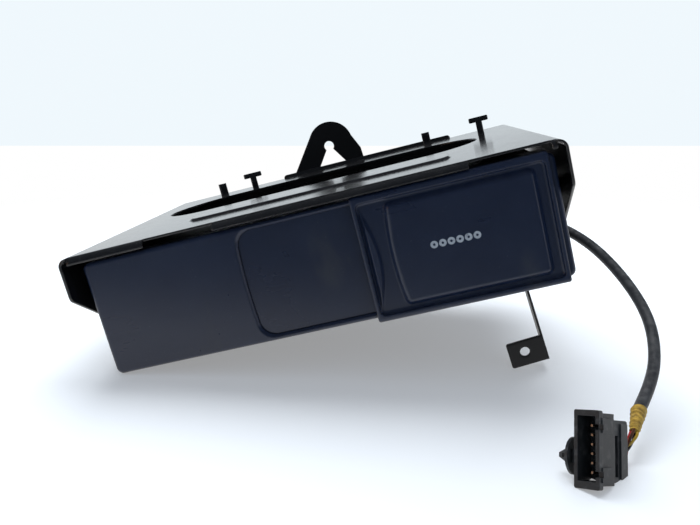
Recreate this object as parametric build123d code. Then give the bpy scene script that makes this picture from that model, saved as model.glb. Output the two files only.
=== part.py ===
from build123d import *
import math
import os

# Car disc changer: a six-tray changer with a two-part sliding front, hung in a
# pressed steel bracket, with its short harness and connector.
# Millimetres. X runs right along the front, Y to the rear, Z up.
# The origin is the middle of the case's flat underside.

# ---------------------------------------------------------------- driving sizes
# Case: a folded tray with a folded cover
CASE_W = 254.0              # tray, outside
CASE_D = 180.0
CASE_H = 63.0
SHEET = 1.0
COVER_LIP = 12.0
TRAY_FLANGE = 14.0          # inward flange along both upper edges
RIB_HALF = 70.0             # rounded rib pressed in the lid
RIB_FRONT = -30.0
RIB_REAR = 60.0
RIB_W = 6.0
RIB_RISE = 0.8
COVER_SCREW_R = 1.5
COVER_SCREW_IN = 8.0        # from the case's sides
COVER_SCREW_YS = (-70.0, 75.0)
COVER_HEAD_R = 2.8
COVER_HEAD_H = 1.2
HOLE_PLAY = 0.1             # clearance holes of small screws

# Moulded front
FASCIA_W = 265.0
FASCIA_H = 67.6
FASCIA_DEPTH = 14.0
FASCIA_LAP = 8.0            # how far the case reaches into it
FASCIA_FACE = 1.8           # thickness of the front wall
FASCIA_RIM = 2.0
FASCIA_EDGE_R = 2.2
FASCIA_CORNER_R = 4.0
OPENING_LEFT = -41.5
OPENING_RIGHT = 127.5
OPENING_BOTTOM = 1.2
OPENING_TOP = 62.3
OPENING_BOW = 1.6           # its left side bulges this far
OPENING_R = 9.0
OPENING_RIGHT_R = 3.0
OPENING_BEVEL = 1.3         # soft edge round the opening
SLIDE_GAP = 0.3             # clearance of the sliding fronts
RAIL_DEPTH = 1.2
RAIL_RISE = 1.5
OVERLAP = 0.2               # how far a wall sinks into the one that it joins

# Outer sliding door
DOOR_LEFT = 23.8
DOOR_W = 104.8
DOOR_PROUD = 4.8            # stands this far in front of the fascia
DOOR_LIP = 1.2
DOOR_LIP_REACH = 12.0       # how far the lips run back over the fascia
DOOR_BEAD = 1.6             # hooked edge of each lip
DOOR_BEAD_RISE = 1.0
DOOR_RELIEF = 2.9           # depth of the scooped field round the pad
DOOR_RIM = 2.2
PAD_LEFT = 41.0
PAD_RIGHT = 121.3
PAD_MARGIN = 5.0            # field above and below the pad
PAD_BOW = 2.4
GRIP_CHORD = 27.0           # straight side of the D-shaped grip
GRIP_BULGE = 6.6
GRIP_MARGIN = 2.0           # field above and below the grip
GRIP_SINK = 0.3             # it stands this much lower than the pad
PAD_SLOPE = 42.0            # degrees, the pad's sides
GRIP_SLOPE = 36.0
FIELD_R = 2.0               # soft foot of the field's walls
PAD_EDGE_R = 2.5

# Inner shutter
SHUTTER_W = 77.0
SHUTTER_T = 2.0
SHUTTER_LAP = 3.0           # hidden behind the opening's left side
CATCH_IN = 1.0              # catch rib near the shutter's right edge
CATCH_T = 2.0
CATCH_H = 16.0

# Inner bezel and eject button
BEZEL_T = 2.0
SLOT_GAP = 0.6
BUTTON_W = 7.2
BUTTON_H = 14.0
BUTTON_X = -24.2
BUTTON_TRAVEL = 2.5
KEY_FLANGE = 1.0            # flange behind the bezel, and how far it reaches round the key
KEY_FLANGE_REACH = 1.5
SWITCH_CARD_T = 1.2
SWITCH_CARD_LEFT = 12.0     # the card's reach left and right of the key's middle
SWITCH_CARD_RIGHT = 2.0
SWITCH_H = 6.0
STEM_R = 1.6
BOSS_R = 2.2
BOSS_X = BUTTON_X - 8.0

# Magazine and its trays
MAG_LEFT = -18.5
MAG_W = 137.0
MAG_LEN = 150.0
MAG_H = 34.6
MAG_BOTTOM = 15.5
MAG_FRONT = -87.5
MAG_WALL = 1.6
MAG_FRONT_WALL = 5.0
MAG_LEDGE = 2.2
LEDGE_T = 1.0
SCOOP_R = 19.0              # ball that scoops the finger hold in the front wall
SCOOP_AHEAD = 16.0
SCOOP_DROP = 9.0
MARK_LEN = 14.0             # sunk bar that marks the way in
MARK_W = 3.0
MARK_DEPTH = 0.8
TRAYS = 6
TRAY_T = 2.8
TRAY_GAP = 0.3
TRAY_SIDE_GAP = 0.4
TRAY_PITCH = 5.3
TRAY_LEFT = -15.0
TRAY_DRAW = 107.0           # tray travel from the magazine to the spindle
DISC_R = 60.5               # recess for a 120 mm disc
DISC_X = 47.5
TRAY_FLOOR = 1.2
TRAY_HOLE_R = 21.0
TRAY_WINDOW_W = 40.0
TRAY_WINDOW_LEN = 60.0
TRAY_THUMB_R = 4.0

# Playing deck that rises and falls beside the magazine
DECK_LEFT = -120.0
DECK_RIGHT = -22.0
DECK_FRONT = -76.0
DECK_REAR = 78.0
DECK_T = 2.0
DECK_DROP = 7.0             # top of the plate below the upper tray
LIFT_DOWN = 26.5
LIFT_UP = 4.4
PIN_R = 1.8
SLOT_PLAY = 0.3
RUN_GAP = 0.06              # radial play of shafts and guides

# Lifting cams
CAM_T = 1.5
CAM_FLOOR_GAP = 0.3
CAM_LEFT_X = -125.3
CAM_REAR_Y = 79.3
RACK_MODULE = 1.0
PINION_TEETH = 12
POST_R = 2.0

# Spindle, pickup and clamp
PLATTER_R = 15.0
PLATTER_T = 2.4
CONE_R = 7.3                # centres the disc's 15 mm hole
CONE_RISE = 2.2
MOTOR_R = 12.0
MOTOR_H = 6.0
ROD_R = 1.2
SCREW_R = 1.6
SLED_TRAVEL = 33.0
ARM_W = 16.0
ARM_T = 2.0
CLAMPER_R = 13.0

# Pressed steel bracket
BRACKET_T = 1.3
GAP_LEFT = 13.4             # between the case's sides and the bracket's flanges
GAP_RIGHT = 10.4
BRACKET_TOP = 71.4
BRACKET_FRONT = -103.0
BRACKET_REAR = 112.0
BRACKET_R = 5.0
FLANGE_FRONT_DROP = 24.0
FLANGE_DEPTH = 49.7
HOLE_LEN = 224.0
HOLE_W = 83.0
HOLE_X = -6.5
HOLE_Y = 30.5
LIP_R = 4.3
MID_LIP_R = 7.5
MID_LIP_TURN = 60.0
EMBOSS_RISE = 1.2
APRON_DROP = 15.0           # flange turned down along the rear edge
STRIP_RISE = 2.6            # raised stretch of that edge
STRIP_LEFT = -48.0
STRIP_RIGHT = 91.5
NOTCH_1 = (-91.5, -51.5)    # stretches of the front edge with no lip
NOTCH_2 = (88.5, 131.0)
TEE_RISE = 12.8
TEE_BAR = 14.0
TEE_STEM = 4.6
TEE_MARGIN = 2.4            # from the great hole's edge to a tee's foot
TEE_LEFT_IN = 53.8          # from the hole's left end to the left tee
POST_W = 6.2
POST_RISE = 9.1

# Hook plate, leg and fastenings
HOOK_R = 18.0
HOOK_X = -3.5
HOOK_Z = 89.8
HOOK_HOLE_R = 4.0
LEG_W = 14.0
LEG_LEN = 57.0
LEG_SPLAY = 5.0
FOOT_W = 21.5
FOOT_H = 15.6
FOOT_HOLE_R = 2.9
LEG_X = 107.5
LEG_Y = -59.0
LEG_TAB = 29.0              # flat tab under the case
LEG_HEAD_R = 3.0
LEG_HEAD_H = 1.8
SCREW_HEAD_R = 4.0
SCREW_HEAD_H = 2.2
BUSH_R = 6.5
BUSH_WAIST = 1.8            # depth of the groove round each bush
BUSH_SCREW_R = 2.0
BUSH_Z = 38.0
BUSH_YS = (-40.0, 70.0)

# Harness
CABLE_R = 3.0
BOOT_R = 4.2
BOOT_FLANGE_R = 8.0
WIRE_R = 0.65
TAPE_T = 0.4
TAPE_NECK_R = 2.1

# ---------------------------------------------------------------- derived places
CASE_FRONT = -CASE_D / 2
CASE_REAR = CASE_D / 2
CASE_X = CASE_W / 2
FASCIA_FRONT = CASE_FRONT - (FASCIA_DEPTH - FASCIA_LAP)
FASCIA_BACK = FASCIA_FRONT + FASCIA_DEPTH
FASCIA_BOTTOM = (CASE_H - FASCIA_H) / 2
FASCIA_TOP = FASCIA_BOTTOM + FASCIA_H
RIM_LOW = FASCIA_BOTTOM + FASCIA_RIM
RIM_HIGH = FASCIA_TOP - FASCIA_RIM
SHUTTER_FRONT = FASCIA_FRONT + FASCIA_FACE + SLIDE_GAP
SHUTTER_BACK = SHUTTER_FRONT + SHUTTER_T
RAIL_FRONT = SHUTTER_BACK + SLIDE_GAP
DOOR_RIGHT = DOOR_LEFT + DOOR_W
DOOR_FRONT = FASCIA_FRONT - DOOR_PROUD
DOOR_BACK = FASCIA_FRONT - SLIDE_GAP
DOOR_LOW = FASCIA_BOTTOM - SLIDE_GAP - DOOR_LIP
DOOR_HIGH = FASCIA_TOP + SLIDE_GAP + DOOR_LIP
BEZEL_BACK = CASE_FRONT + BEZEL_T
MAG_RIGHT = MAG_LEFT + MAG_W
MAG_REAR = MAG_FRONT + MAG_LEN
MAG_TOP = MAG_BOTTOM + MAG_H
BAY_FRONT = MAG_FRONT + MAG_FRONT_WALL
BAY_REAR = MAG_REAR - MAG_WALL
BAY_FLOOR = MAG_BOTTOM + MAG_WALL
TRAY_FRONT = BAY_FRONT + TRAY_SIDE_GAP
TRAY_REAR = BAY_REAR - TRAY_SIDE_GAP
TRAY_RIGHT = MAG_RIGHT - MAG_WALL - TRAY_SIDE_GAP
DISC_Y = (TRAY_FRONT + TRAY_REAR) / 2
TOP_TRAY_Z = BAY_FLOOR + TRAY_GAP + (TRAYS - 1) * TRAY_PITCH
SPINDLE_X = DISC_X - TRAY_DRAW
SPINDLE_Y = DISC_Y
DECK_TOP = TOP_TRAY_Z - DECK_DROP
DECK_LOW = DECK_TOP - DECK_T
PLATTER_TOP = TOP_TRAY_Z - 3.0
PIN_Z = DECK_TOP - DECK_T / 2
BRACKET_LEFT = -CASE_W / 2 - GAP_LEFT - BRACKET_T
BRACKET_RIGHT = CASE_W / 2 + GAP_RIGHT + BRACKET_T
PLATE_LOW = BRACKET_TOP - BRACKET_T
FLANGE_LOW = BRACKET_TOP - FLANGE_DEPTH


# ---------------------------------------------------------------- small helpers
def block(x0, x1, y0, y1, z0, z1):
    """A straight box between two corners."""
    return Pos((x0 + x1) / 2, (y0 + y1) / 2, (z0 + z1) / 2) * Box(x1 - x0, y1 - y0, z1 - z0)


def rod(start, along, radius, length):
    """A round bar from a start point."""
    return Solid.make_cylinder(radius, length, Plane(origin=start, z_dir=along))


def slab_x(outline, x0, x1):
    """An outline drawn in (Y, Z), thick along X."""
    return extrude(Plane(origin=(x0, 0, 0), x_dir=(0, 1, 0), z_dir=(1, 0, 0)) * outline, x1 - x0)


def slab_y(outline, y0, y1):
    """An outline drawn in (X, Z), thick along Y."""
    return extrude(Plane(origin=(0, y1, 0), x_dir=(1, 0, 0), z_dir=(0, -1, 0)) * outline, y1 - y0)


def slab_z(outline, z0, z1):
    """An outline drawn in (X, Y), thick along Z."""
    return extrude(Pos(0, 0, z0) * outline, z1 - z0)


def poly(*points):
    """A closed flat outline through points."""
    return make_face(Polyline(*points, close=True))


def rounded(x0, x1, y0, y1, radius):
    """A flat rounded rectangle between two corners."""
    return Pos((x0 + x1) / 2, (y0 + y1) / 2) * RectangleRounded(x1 - x0, y1 - y0, radius)


# ---------------------------------------------------------------- case
BUSH_HOLE_R = BUSH_SCREW_R + 2 * HOLE_PLAY
BOOT_Y = -3.7
BOOT_Z = 12.7
LEG_SCREW_XS = (LEG_X - 0.8 * LEG_TAB, LEG_X - 0.3 * LEG_TAB)
LEG_SCREW_R = 1.5
COVER_SCREWS = [(side * (CASE_X - COVER_SCREW_IN), y) for side in (-1, 1) for y in COVER_SCREW_YS]


def case_tray():
    """Floor, two sides and a back folded from one sheet, open in front and above."""
    top = CASE_H - SHEET
    shell = block(-CASE_X, CASE_X, CASE_FRONT, CASE_REAR, 0, top)
    rear_corners = shell.edges().filter_by(Axis.Z).group_by(Axis.Y)[-1]
    shell = fillet(rear_corners, 2.0)
    tray = shell - block(-CASE_X + SHEET, CASE_X - SHEET, CASE_FRONT - 1, CASE_REAR - SHEET,
                         SHEET, top + 1)
    for side in (-1, 1):
        inner = side * (CASE_X - TRAY_FLANGE)
        outer = side * (CASE_X - SHEET / 2)
        tray += block(min(inner, outer), max(inner, outer), CASE_FRONT + BEZEL_T + 1,
                      CASE_REAR - SHEET / 2, top - SHEET, top)
        for y in BUSH_YS:
            tray -= rod((side * (CASE_X - 3), y, BUSH_Z), (side, 0, 0), BUSH_HOLE_R, 6)
    for x, y in COVER_SCREWS:
        tray -= rod((x, y, top - 4), (0, 0, 1), COVER_SCREW_R + HOLE_PLAY, 6)
    for x in LEG_SCREW_XS:
        tray -= rod((x, LEG_Y, -1), (0, 0, 1), LEG_SCREW_R + HOLE_PLAY, 4)
    tray -= rod((CASE_X - 3, BOOT_Y, BOOT_Z), (1, 0, 0), CABLE_R + 0.4, 6)
    return tray


def case_cover():
    """Top sheet with lips folded down outside the tray."""
    x = CASE_X + SHEET
    cover = block(-x, x, CASE_FRONT, CASE_REAR + SHEET, CASE_H - COVER_LIP, CASE_H)
    cover = fillet(cover.edges().filter_by(Axis.Y).group_by(Axis.Z)[-1], 0.9)
    cover -= block(-CASE_X, CASE_X, CASE_FRONT - 1, CASE_REAR, 0, CASE_H - SHEET)
    rib = rounded(-RIB_HALF, RIB_HALF, RIB_FRONT, RIB_REAR, 2 * RIB_W)
    rib -= offset(rib, -RIB_W)
    cover += slab_z(rib, CASE_H - SHEET / 2, CASE_H + RIB_RISE)
    for x, y in COVER_SCREWS:
        cover -= rod((x, y, CASE_H - 4), (0, 0, 1), COVER_SCREW_R + 2 * HOLE_PLAY, 6)
    return cover


def cover_screws():
    """Four low-headed screws through the cover into the tray's flanges."""
    return [rod((x, y, CASE_H), (0, 0, 1), COVER_HEAD_R, COVER_HEAD_H) +
            rod((x, y, CASE_H - 5), (0, 0, 1), COVER_SCREW_R, 5) for x, y in COVER_SCREWS]


# ---------------------------------------------------------------- moulded front
GROOVE = DOOR_BEAD + 2 * SLIDE_GAP
GROOVE_FRONT = DOOR_BACK + DOOR_LIP_REACH - DOOR_BEAD - SLIDE_GAP


def opening_outline(grow=0.0):
    """The front's opening: bowed and rounded on its left."""
    left = OPENING_LEFT - grow
    right = OPENING_RIGHT + grow
    low = OPENING_BOTTOM - grow
    high = OPENING_TOP + grow
    edges = [Line((right, high), (left, high)),
             ThreePointArc((left, high), (left - OPENING_BOW, (low + high) / 2), (left, low)),
             Line((left, low), (right, low)), Line((right, low), (right, high))]
    face = make_face(edges)
    corners = face.vertices().group_by(Axis.X)
    face = fillet(corners[0], OPENING_R)
    return fillet(face.vertices().group_by(Axis.X)[-1], OPENING_RIGHT_R)


def fascia():
    """Front moulding: face, rim, rails for the shutter and grooves for the door."""
    half = FASCIA_W / 2
    body = block(-half, half, FASCIA_FRONT, FASCIA_BACK, FASCIA_BOTTOM, FASCIA_TOP)
    body = fillet(body.edges().filter_by(Axis.Y), FASCIA_CORNER_R)
    body = fillet(body.faces().sort_by(Axis.Y)[0].edges(), FASCIA_EDGE_R)
    inner = half - FASCIA_RIM
    body -= block(-inner, inner, FASCIA_FRONT + FASCIA_FACE, FASCIA_BACK + 1, RIM_LOW, RIM_HIGH)
    body -= slab_y(opening_outline(), FASCIA_FRONT - 1, FASCIA_FRONT + FASCIA_FACE + 1)
    body -= loft([Plane.XZ.offset(-FASCIA_FRONT) * opening_outline(OPENING_BEVEL),
                  Plane.XZ.offset(-FASCIA_FRONT - OPENING_BEVEL) * opening_outline(0.0)])
    for low, high in ((RIM_LOW - OVERLAP, RIM_LOW + RAIL_RISE), (RIM_HIGH - RAIL_RISE, RIM_HIGH + OVERLAP)):
        body += block(-inner - OVERLAP, inner + OVERLAP, RAIL_FRONT, RAIL_FRONT + RAIL_DEPTH, low, high)
    for z0, z1 in ((FASCIA_TOP - DOOR_BEAD_RISE, FASCIA_TOP + 1),
                   (FASCIA_BOTTOM - 1, FASCIA_BOTTOM + DOOR_BEAD_RISE)):
        body -= block(-half - 1, half + 1, GROOVE_FRONT, GROOVE_FRONT + GROOVE, z0, z1)
    return body


def sliding_door():
    """Outer door: relief front with a finger grip, hooked over the front's two edges."""
    body = block(DOOR_LEFT, DOOR_RIGHT, DOOR_FRONT, DOOR_BACK + DOOR_LIP_REACH, DOOR_LOW, DOOR_HIGH)
    body = fillet(body.edges().filter_by(Axis.X).group_by(Axis.Y)[0], 2.2)
    body = fillet(body.faces().sort_by(Axis.Y)[0].edges().filter_by(Axis.Z), 1.2)
    inside_low = DOOR_LOW + DOOR_LIP
    inside_high = DOOR_HIGH - DOOR_LIP
    body -= block(DOOR_LEFT - 1, DOOR_RIGHT + 1, DOOR_BACK, DOOR_BACK + DOOR_LIP_REACH + 1,
                  inside_low, inside_high)
    bead_front = DOOR_BACK + DOOR_LIP_REACH - DOOR_BEAD
    rise = DOOR_BEAD_RISE
    for z0, z1 in ((inside_high - rise, inside_high + OVERLAP), (inside_low - OVERLAP, inside_low + rise)):
        body += block(DOOR_LEFT + 1, DOOR_RIGHT - 1, bead_front, bead_front + DOOR_BEAD, z0, z1)
    # scooped field, leaving the pad and the D-shaped grip standing in it
    low = OPENING_BOTTOM - 1.5
    high = OPENING_TOP + 0.5
    mid = (low + high) / 2
    left = DOOR_LEFT + DOOR_RIM
    right = DOOR_RIGHT - DOOR_RIM
    field = rounded(left, right, low, high, 3.0)
    pad_low = low + PAD_MARGIN / 2
    pad_high = high - PAD_MARGIN / 2
    pad = make_face([Line((PAD_RIGHT, pad_high), (PAD_LEFT, pad_high)),
                     ThreePointArc((PAD_LEFT, pad_high), (PAD_LEFT - PAD_BOW, mid), (PAD_LEFT, pad_low)),
                     Line((PAD_LEFT, pad_low), (PAD_RIGHT, pad_low)),
                     Line((PAD_RIGHT, pad_low), (PAD_RIGHT, pad_high))])
    pad = fillet(pad.vertices(), 4.0)
    grip_low = low + GRIP_MARGIN
    grip_high = high - GRIP_MARGIN
    grip = make_face([Line((GRIP_CHORD, grip_low), (GRIP_CHORD, grip_high)),
                      ThreePointArc((GRIP_CHORD, grip_high), (GRIP_CHORD + GRIP_BULGE, mid),
                                    (GRIP_CHORD, grip_low))])
    floor = DOOR_FRONT + DOOR_RELIEF
    cut = slab_y(field, DOOR_FRONT - 1, floor)
    cut = fillet(cut.faces().sort_by(Axis.Y)[-1].edges(), FIELD_R)
    raised = extrude(Plane.XZ.offset(-floor - 0.01) * pad, DOOR_RELIEF + 0.01, taper=PAD_SLOPE)
    raised = fillet(raised.faces().sort_by(Axis.Y)[0].edges(), PAD_EDGE_R)
    ridge = extrude(Plane.XZ.offset(-floor - 0.01) * grip, DOOR_RELIEF - GRIP_SINK, taper=GRIP_SLOPE)
    return body - cut + raised + ridge


def shutter():
    """Inner slide: a flat panel with folded upper and lower edges behind the opening."""
    x0 = OPENING_LEFT - SHUTTER_LAP
    low = RIM_LOW + SLIDE_GAP
    high = RIM_HIGH - SLIDE_GAP
    panel = block(x0, x0 + SHUTTER_W, SHUTTER_FRONT, SHUTTER_BACK, low, high)
    panel = fillet(panel.edges().filter_by(Axis.Y), 1.5)
    right = x0 + SHUTTER_W - CATCH_IN
    mid = (low + high) / 2
    catch = block(right - CATCH_T, right, FASCIA_FRONT + SLIDE_GAP, SHUTTER_FRONT + OVERLAP,
                  mid - CATCH_H / 2, mid + CATCH_H / 2)
    return panel + catch


SLOT_LEFT = MAG_LEFT - SLOT_GAP
SLOT_RIGHT = MAG_RIGHT + SLOT_GAP
BUTTON_Z = (MAG_BOTTOM + MAG_TOP) / 2
SWITCH_FRONT = BEZEL_BACK + 1.3 + BUTTON_TRAVEL + 0.5
BOARD_Y = SWITCH_FRONT + 4.0
SWITCH_LOW = BUTTON_Z - 17.0
SWITCH_HIGH = TOP_TRAY_Z - 1.2          # the board stays under the tray that slides out above it
BOSSES_Z = (SWITCH_LOW + BOSS_R + 1, SWITCH_HIGH - BOSS_R - 1)


def inner_bezel():
    """Plate behind the sliding fronts, with the magazine's slot and the button's hole."""
    x = CASE_X - SHEET
    plate = block(-x, x, CASE_FRONT, BEZEL_BACK, SHEET, CASE_H - SHEET)
    slot = rounded(SLOT_LEFT, SLOT_RIGHT, MAG_BOTTOM - SLOT_GAP, MAG_TOP + SLOT_GAP, 2.5)
    plate -= slab_y(slot, CASE_FRONT - 1, BEZEL_BACK + 1)
    lead_in = loft([Plane.XZ.offset(-CASE_FRONT) * offset(slot, 0.9),
                    Plane.XZ.offset(-CASE_FRONT - 0.9) * slot])
    plate -= lead_in
    w = BUTTON_W / 2 + SLIDE_GAP
    h = BUTTON_H / 2 + SLIDE_GAP
    hole = rounded(BUTTON_X - w, BUTTON_X + w, BUTTON_Z - h, BUTTON_Z + h, 1.8)
    plate -= slab_y(hole, CASE_FRONT - 1, BEZEL_BACK + 1)
    for z in BOSSES_Z:
        plate += rod((BOSS_X, BEZEL_BACK - OVERLAP, z), (0, 1, 0), BOSS_R, BOARD_Y - BEZEL_BACK + OVERLAP)
    return plate


def eject_button():
    """Rounded key with a flange that keeps it behind the bezel."""
    w = BUTTON_W / 2
    h = BUTTON_H / 2
    key = slab_y(rounded(BUTTON_X - w, BUTTON_X + w, BUTTON_Z - h, BUTTON_Z + h, 1.5),
                 CASE_FRONT - 1.0, BEZEL_BACK + 0.3)
    key = fillet(key.faces().sort_by(Axis.Y)[0].edges(), 0.5)
    reach = KEY_FLANGE_REACH
    flange = rounded(BUTTON_X - w - reach, BUTTON_X + w, BUTTON_Z - h - reach, BUTTON_Z + h + reach, 1.5)
    return key + slab_y(flange, BEZEL_BACK + OVERLAP, BEZEL_BACK + OVERLAP + KEY_FLANGE)


def eject_switch():
    """Small board on the bezel's bosses with a push switch behind the key."""
    right = BUTTON_X + SWITCH_CARD_RIGHT
    board = rounded(BUTTON_X - SWITCH_CARD_LEFT, right, SWITCH_LOW, SWITCH_HIGH, 1.5)
    card = slab_y(board, BOARD_Y, BOARD_Y + SWITCH_CARD_T)
    half = SWITCH_H / 2
    body = block(right - SWITCH_H, right, SWITCH_FRONT + 1.2, BOARD_Y, BUTTON_Z - half, BUTTON_Z + half)
    return card + body + rod((right - half, SWITCH_FRONT, BUTTON_Z), (0, 1, 0), STEM_R, 1.4)


# ---------------------------------------------------------------- magazine
FINGER_X = -8.5             # middle of the finger that draws a tray
FINGER_W = 4.0
NOTCH_LEFT = FINGER_X - FINGER_W / 2 - 0.5
NOTCH_RIGHT = NOTCH_LEFT + 11.5
NOTCH_DEPTH = 4.0


def magazine_shell():
    """Box open on its left, with ledges that carry the trays."""
    body = block(MAG_LEFT, MAG_RIGHT, MAG_FRONT, MAG_REAR, MAG_BOTTOM, MAG_TOP)
    body = fillet(body.edges().filter_by(Axis.Y), 1.5)
    body -= block(MAG_LEFT - 1, MAG_RIGHT - MAG_WALL, BAY_FRONT, BAY_REAR, BAY_FLOOR, MAG_TOP - MAG_WALL)
    for tray in range(1, TRAYS):
        z = BAY_FLOOR + tray * TRAY_PITCH
        body += block(MAG_LEFT, MAG_RIGHT - 1, BAY_FRONT - 0.5, BAY_FRONT + MAG_LEDGE, z - LEDGE_T, z)
        body += block(NOTCH_RIGHT, MAG_RIGHT - 1, BAY_REAR - MAG_LEDGE, BAY_REAR + 0.5, z - LEDGE_T, z)
    # the rear left corner is open so that the drawing finger reaches every tray
    body -= block(MAG_LEFT - 1, NOTCH_RIGHT, TRAY_REAR - NOTCH_DEPTH, MAG_REAR + 1,
                  MAG_BOTTOM - 1, MAG_TOP + 1)
    # finger scoop in the front wall and an insertion mark beside it
    body -= Pos(DISC_X, MAG_FRONT - SCOOP_AHEAD, MAG_TOP - SCOOP_DROP) * Sphere(SCOOP_R)
    mark_x = DISC_X - SCOOP_R - MARK_LEN
    mark_z = MAG_BOTTOM + MAG_H / 4
    mark = rounded(mark_x, mark_x + MARK_LEN, mark_z, mark_z + MARK_W, 0.4 * MARK_W)
    return body - slab_y(mark, MAG_FRONT - 1, MAG_FRONT + MARK_DEPTH)


def tray_plate(number):
    """One disc tray at its level: recess, centre hole, pickup window and notch."""
    z = BAY_FLOOR + TRAY_GAP + number * TRAY_PITCH
    plate = slab_z(rounded(TRAY_LEFT, TRAY_RIGHT, TRAY_FRONT, TRAY_REAR, 3.0), z, z + TRAY_T)
    plate -= rod((DISC_X, DISC_Y, z + TRAY_FLOOR), (0, 0, 1), DISC_R, TRAY_T)
    window = Pos(DISC_X, DISC_Y) * Circle(TRAY_HOLE_R)
    half = TRAY_WINDOW_W / 2
    window += rounded(DISC_X - half, DISC_X + half, DISC_Y, DISC_Y + TRAY_WINDOW_LEN, 4.0)
    plate -= slab_z(window, z - 1, z + TRAY_T + 1)
    plate -= block(NOTCH_LEFT, NOTCH_RIGHT, TRAY_REAR - NOTCH_DEPTH, TRAY_REAR + 1, z - 1, z + TRAY_T + 1)
    thumb = Pos(TRAY_RIGHT, DISC_Y) * Circle(TRAY_THUMB_R)
    return plate - slab_z(thumb, z - 1, z + TRAY_T + 1)


CRADLE_T = 1.0
CRADLE_GAP = 0.3
CRADLE_TOP = MAG_BOTTOM - CRADLE_GAP
CRADLE_LEFT = MAG_LEFT - 1.5
CRADLE_RIGHT = MAG_RIGHT + SLOT_GAP + CRADLE_T


def magazine_cradle():
    """Bent sheet table that carries and guides the magazine above the case floor."""
    low = CRADLE_TOP - CRADLE_T
    front = BEZEL_BACK + 0.5
    table = block(CRADLE_LEFT, CRADLE_RIGHT, front, MAG_REAR + 9, low, CRADLE_TOP)
    table -= block(CRADLE_LEFT - 1, NOTCH_RIGHT + 3, BAY_REAR - 6, MAG_REAR + 10, low - 1, CRADLE_TOP + 1)
    for x in (CRADLE_LEFT, CRADLE_RIGHT - CRADLE_T):
        rear = BAY_REAR - 6.5 if x < 0 else MAG_REAR + 9
        table += block(x, x + CRADLE_T, front, rear, SHEET, low + CRADLE_T / 2)
    table += block(CRADLE_RIGHT - CRADLE_T, CRADLE_RIGHT, front, MAG_REAR, CRADLE_TOP - 0.5, MAG_TOP - 4)
    for x in (DISC_X - 30, DISC_X + 25):
        table += block(x, x + 12, MAG_REAR + 0.5, MAG_REAR + 0.5 + CRADLE_T, low, CRADLE_TOP + 15)
    for x in (DISC_X - 35, DISC_X + 35):
        table -= slab_z(rounded(x - 20, x + 20, -60, 20, 6), low - 1, CRADLE_TOP + 1)
    return table


# ---------------------------------------------------------------- playing deck
REAR_PINS = (-85.0, -35.0)
LEFT_PINS = (-50.0, 40.0)
POSTS = (-110.0, -30.0)
POST_Y = 72.0
ARM_PIVOT_Y = 71.4
ARM_LOW = TOP_TRAY_Z + TRAY_T + 4.8
ARM_PIVOT_Z = ARM_LOW + ARM_T / 2
PILLAR_T = 2.0
RODS_X = (SPINDLE_X - 16.0, SPINDLE_X + 16.0)
ROD_Z = DECK_LOW - 2.2
ROD_FRONT = SPINDLE_Y + 8.0
ROD_REAR = 63.0
DRIVE_X = SPINDLE_X + 24.5
SLED_FRONT = SPINDLE_Y + 13.5
SLED_LEN = 18.0
SCREW_END = SLED_FRONT + SLED_LEN + SLED_TRAVEL + 3
SLED_MOTOR_REAR = -34.0
SLED_MOTOR_LEN = 18.0
SLED_MOTOR_R = 4.6
RAIL_Y = 63.2
RAIL_W = 3.0
RAIL_Z = DECK_TOP + 3.0
RAIL_T = 1.6
SLIDER_GAP = 0.15
PAD_W = 10.0                # thickened pads that carry the cam pins
PAD_DEPTH = 4.0
PAD_RISE = 1.5
POST_BOSS_R = POST_R + 1.8
POST_BOSS_RISE = 3.0        # the posts' bosses reach this far below and above the plate
ROD_SUPPORT_W = 5.2
ROD_SUPPORT_T = 4.0
ROD_DROP = 2.2              # supports reach this far below the rods' middle
SPINDLE_HOLE_R = 4.0
PIVOT_R = 1.2
EYE_R = 3.4                 # rounded ends of pillars and arm round the pivot
ARM_SHEET = 1.2
ARM_SIDE_GAP = 0.5
SHAFT_R = 1.0


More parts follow.
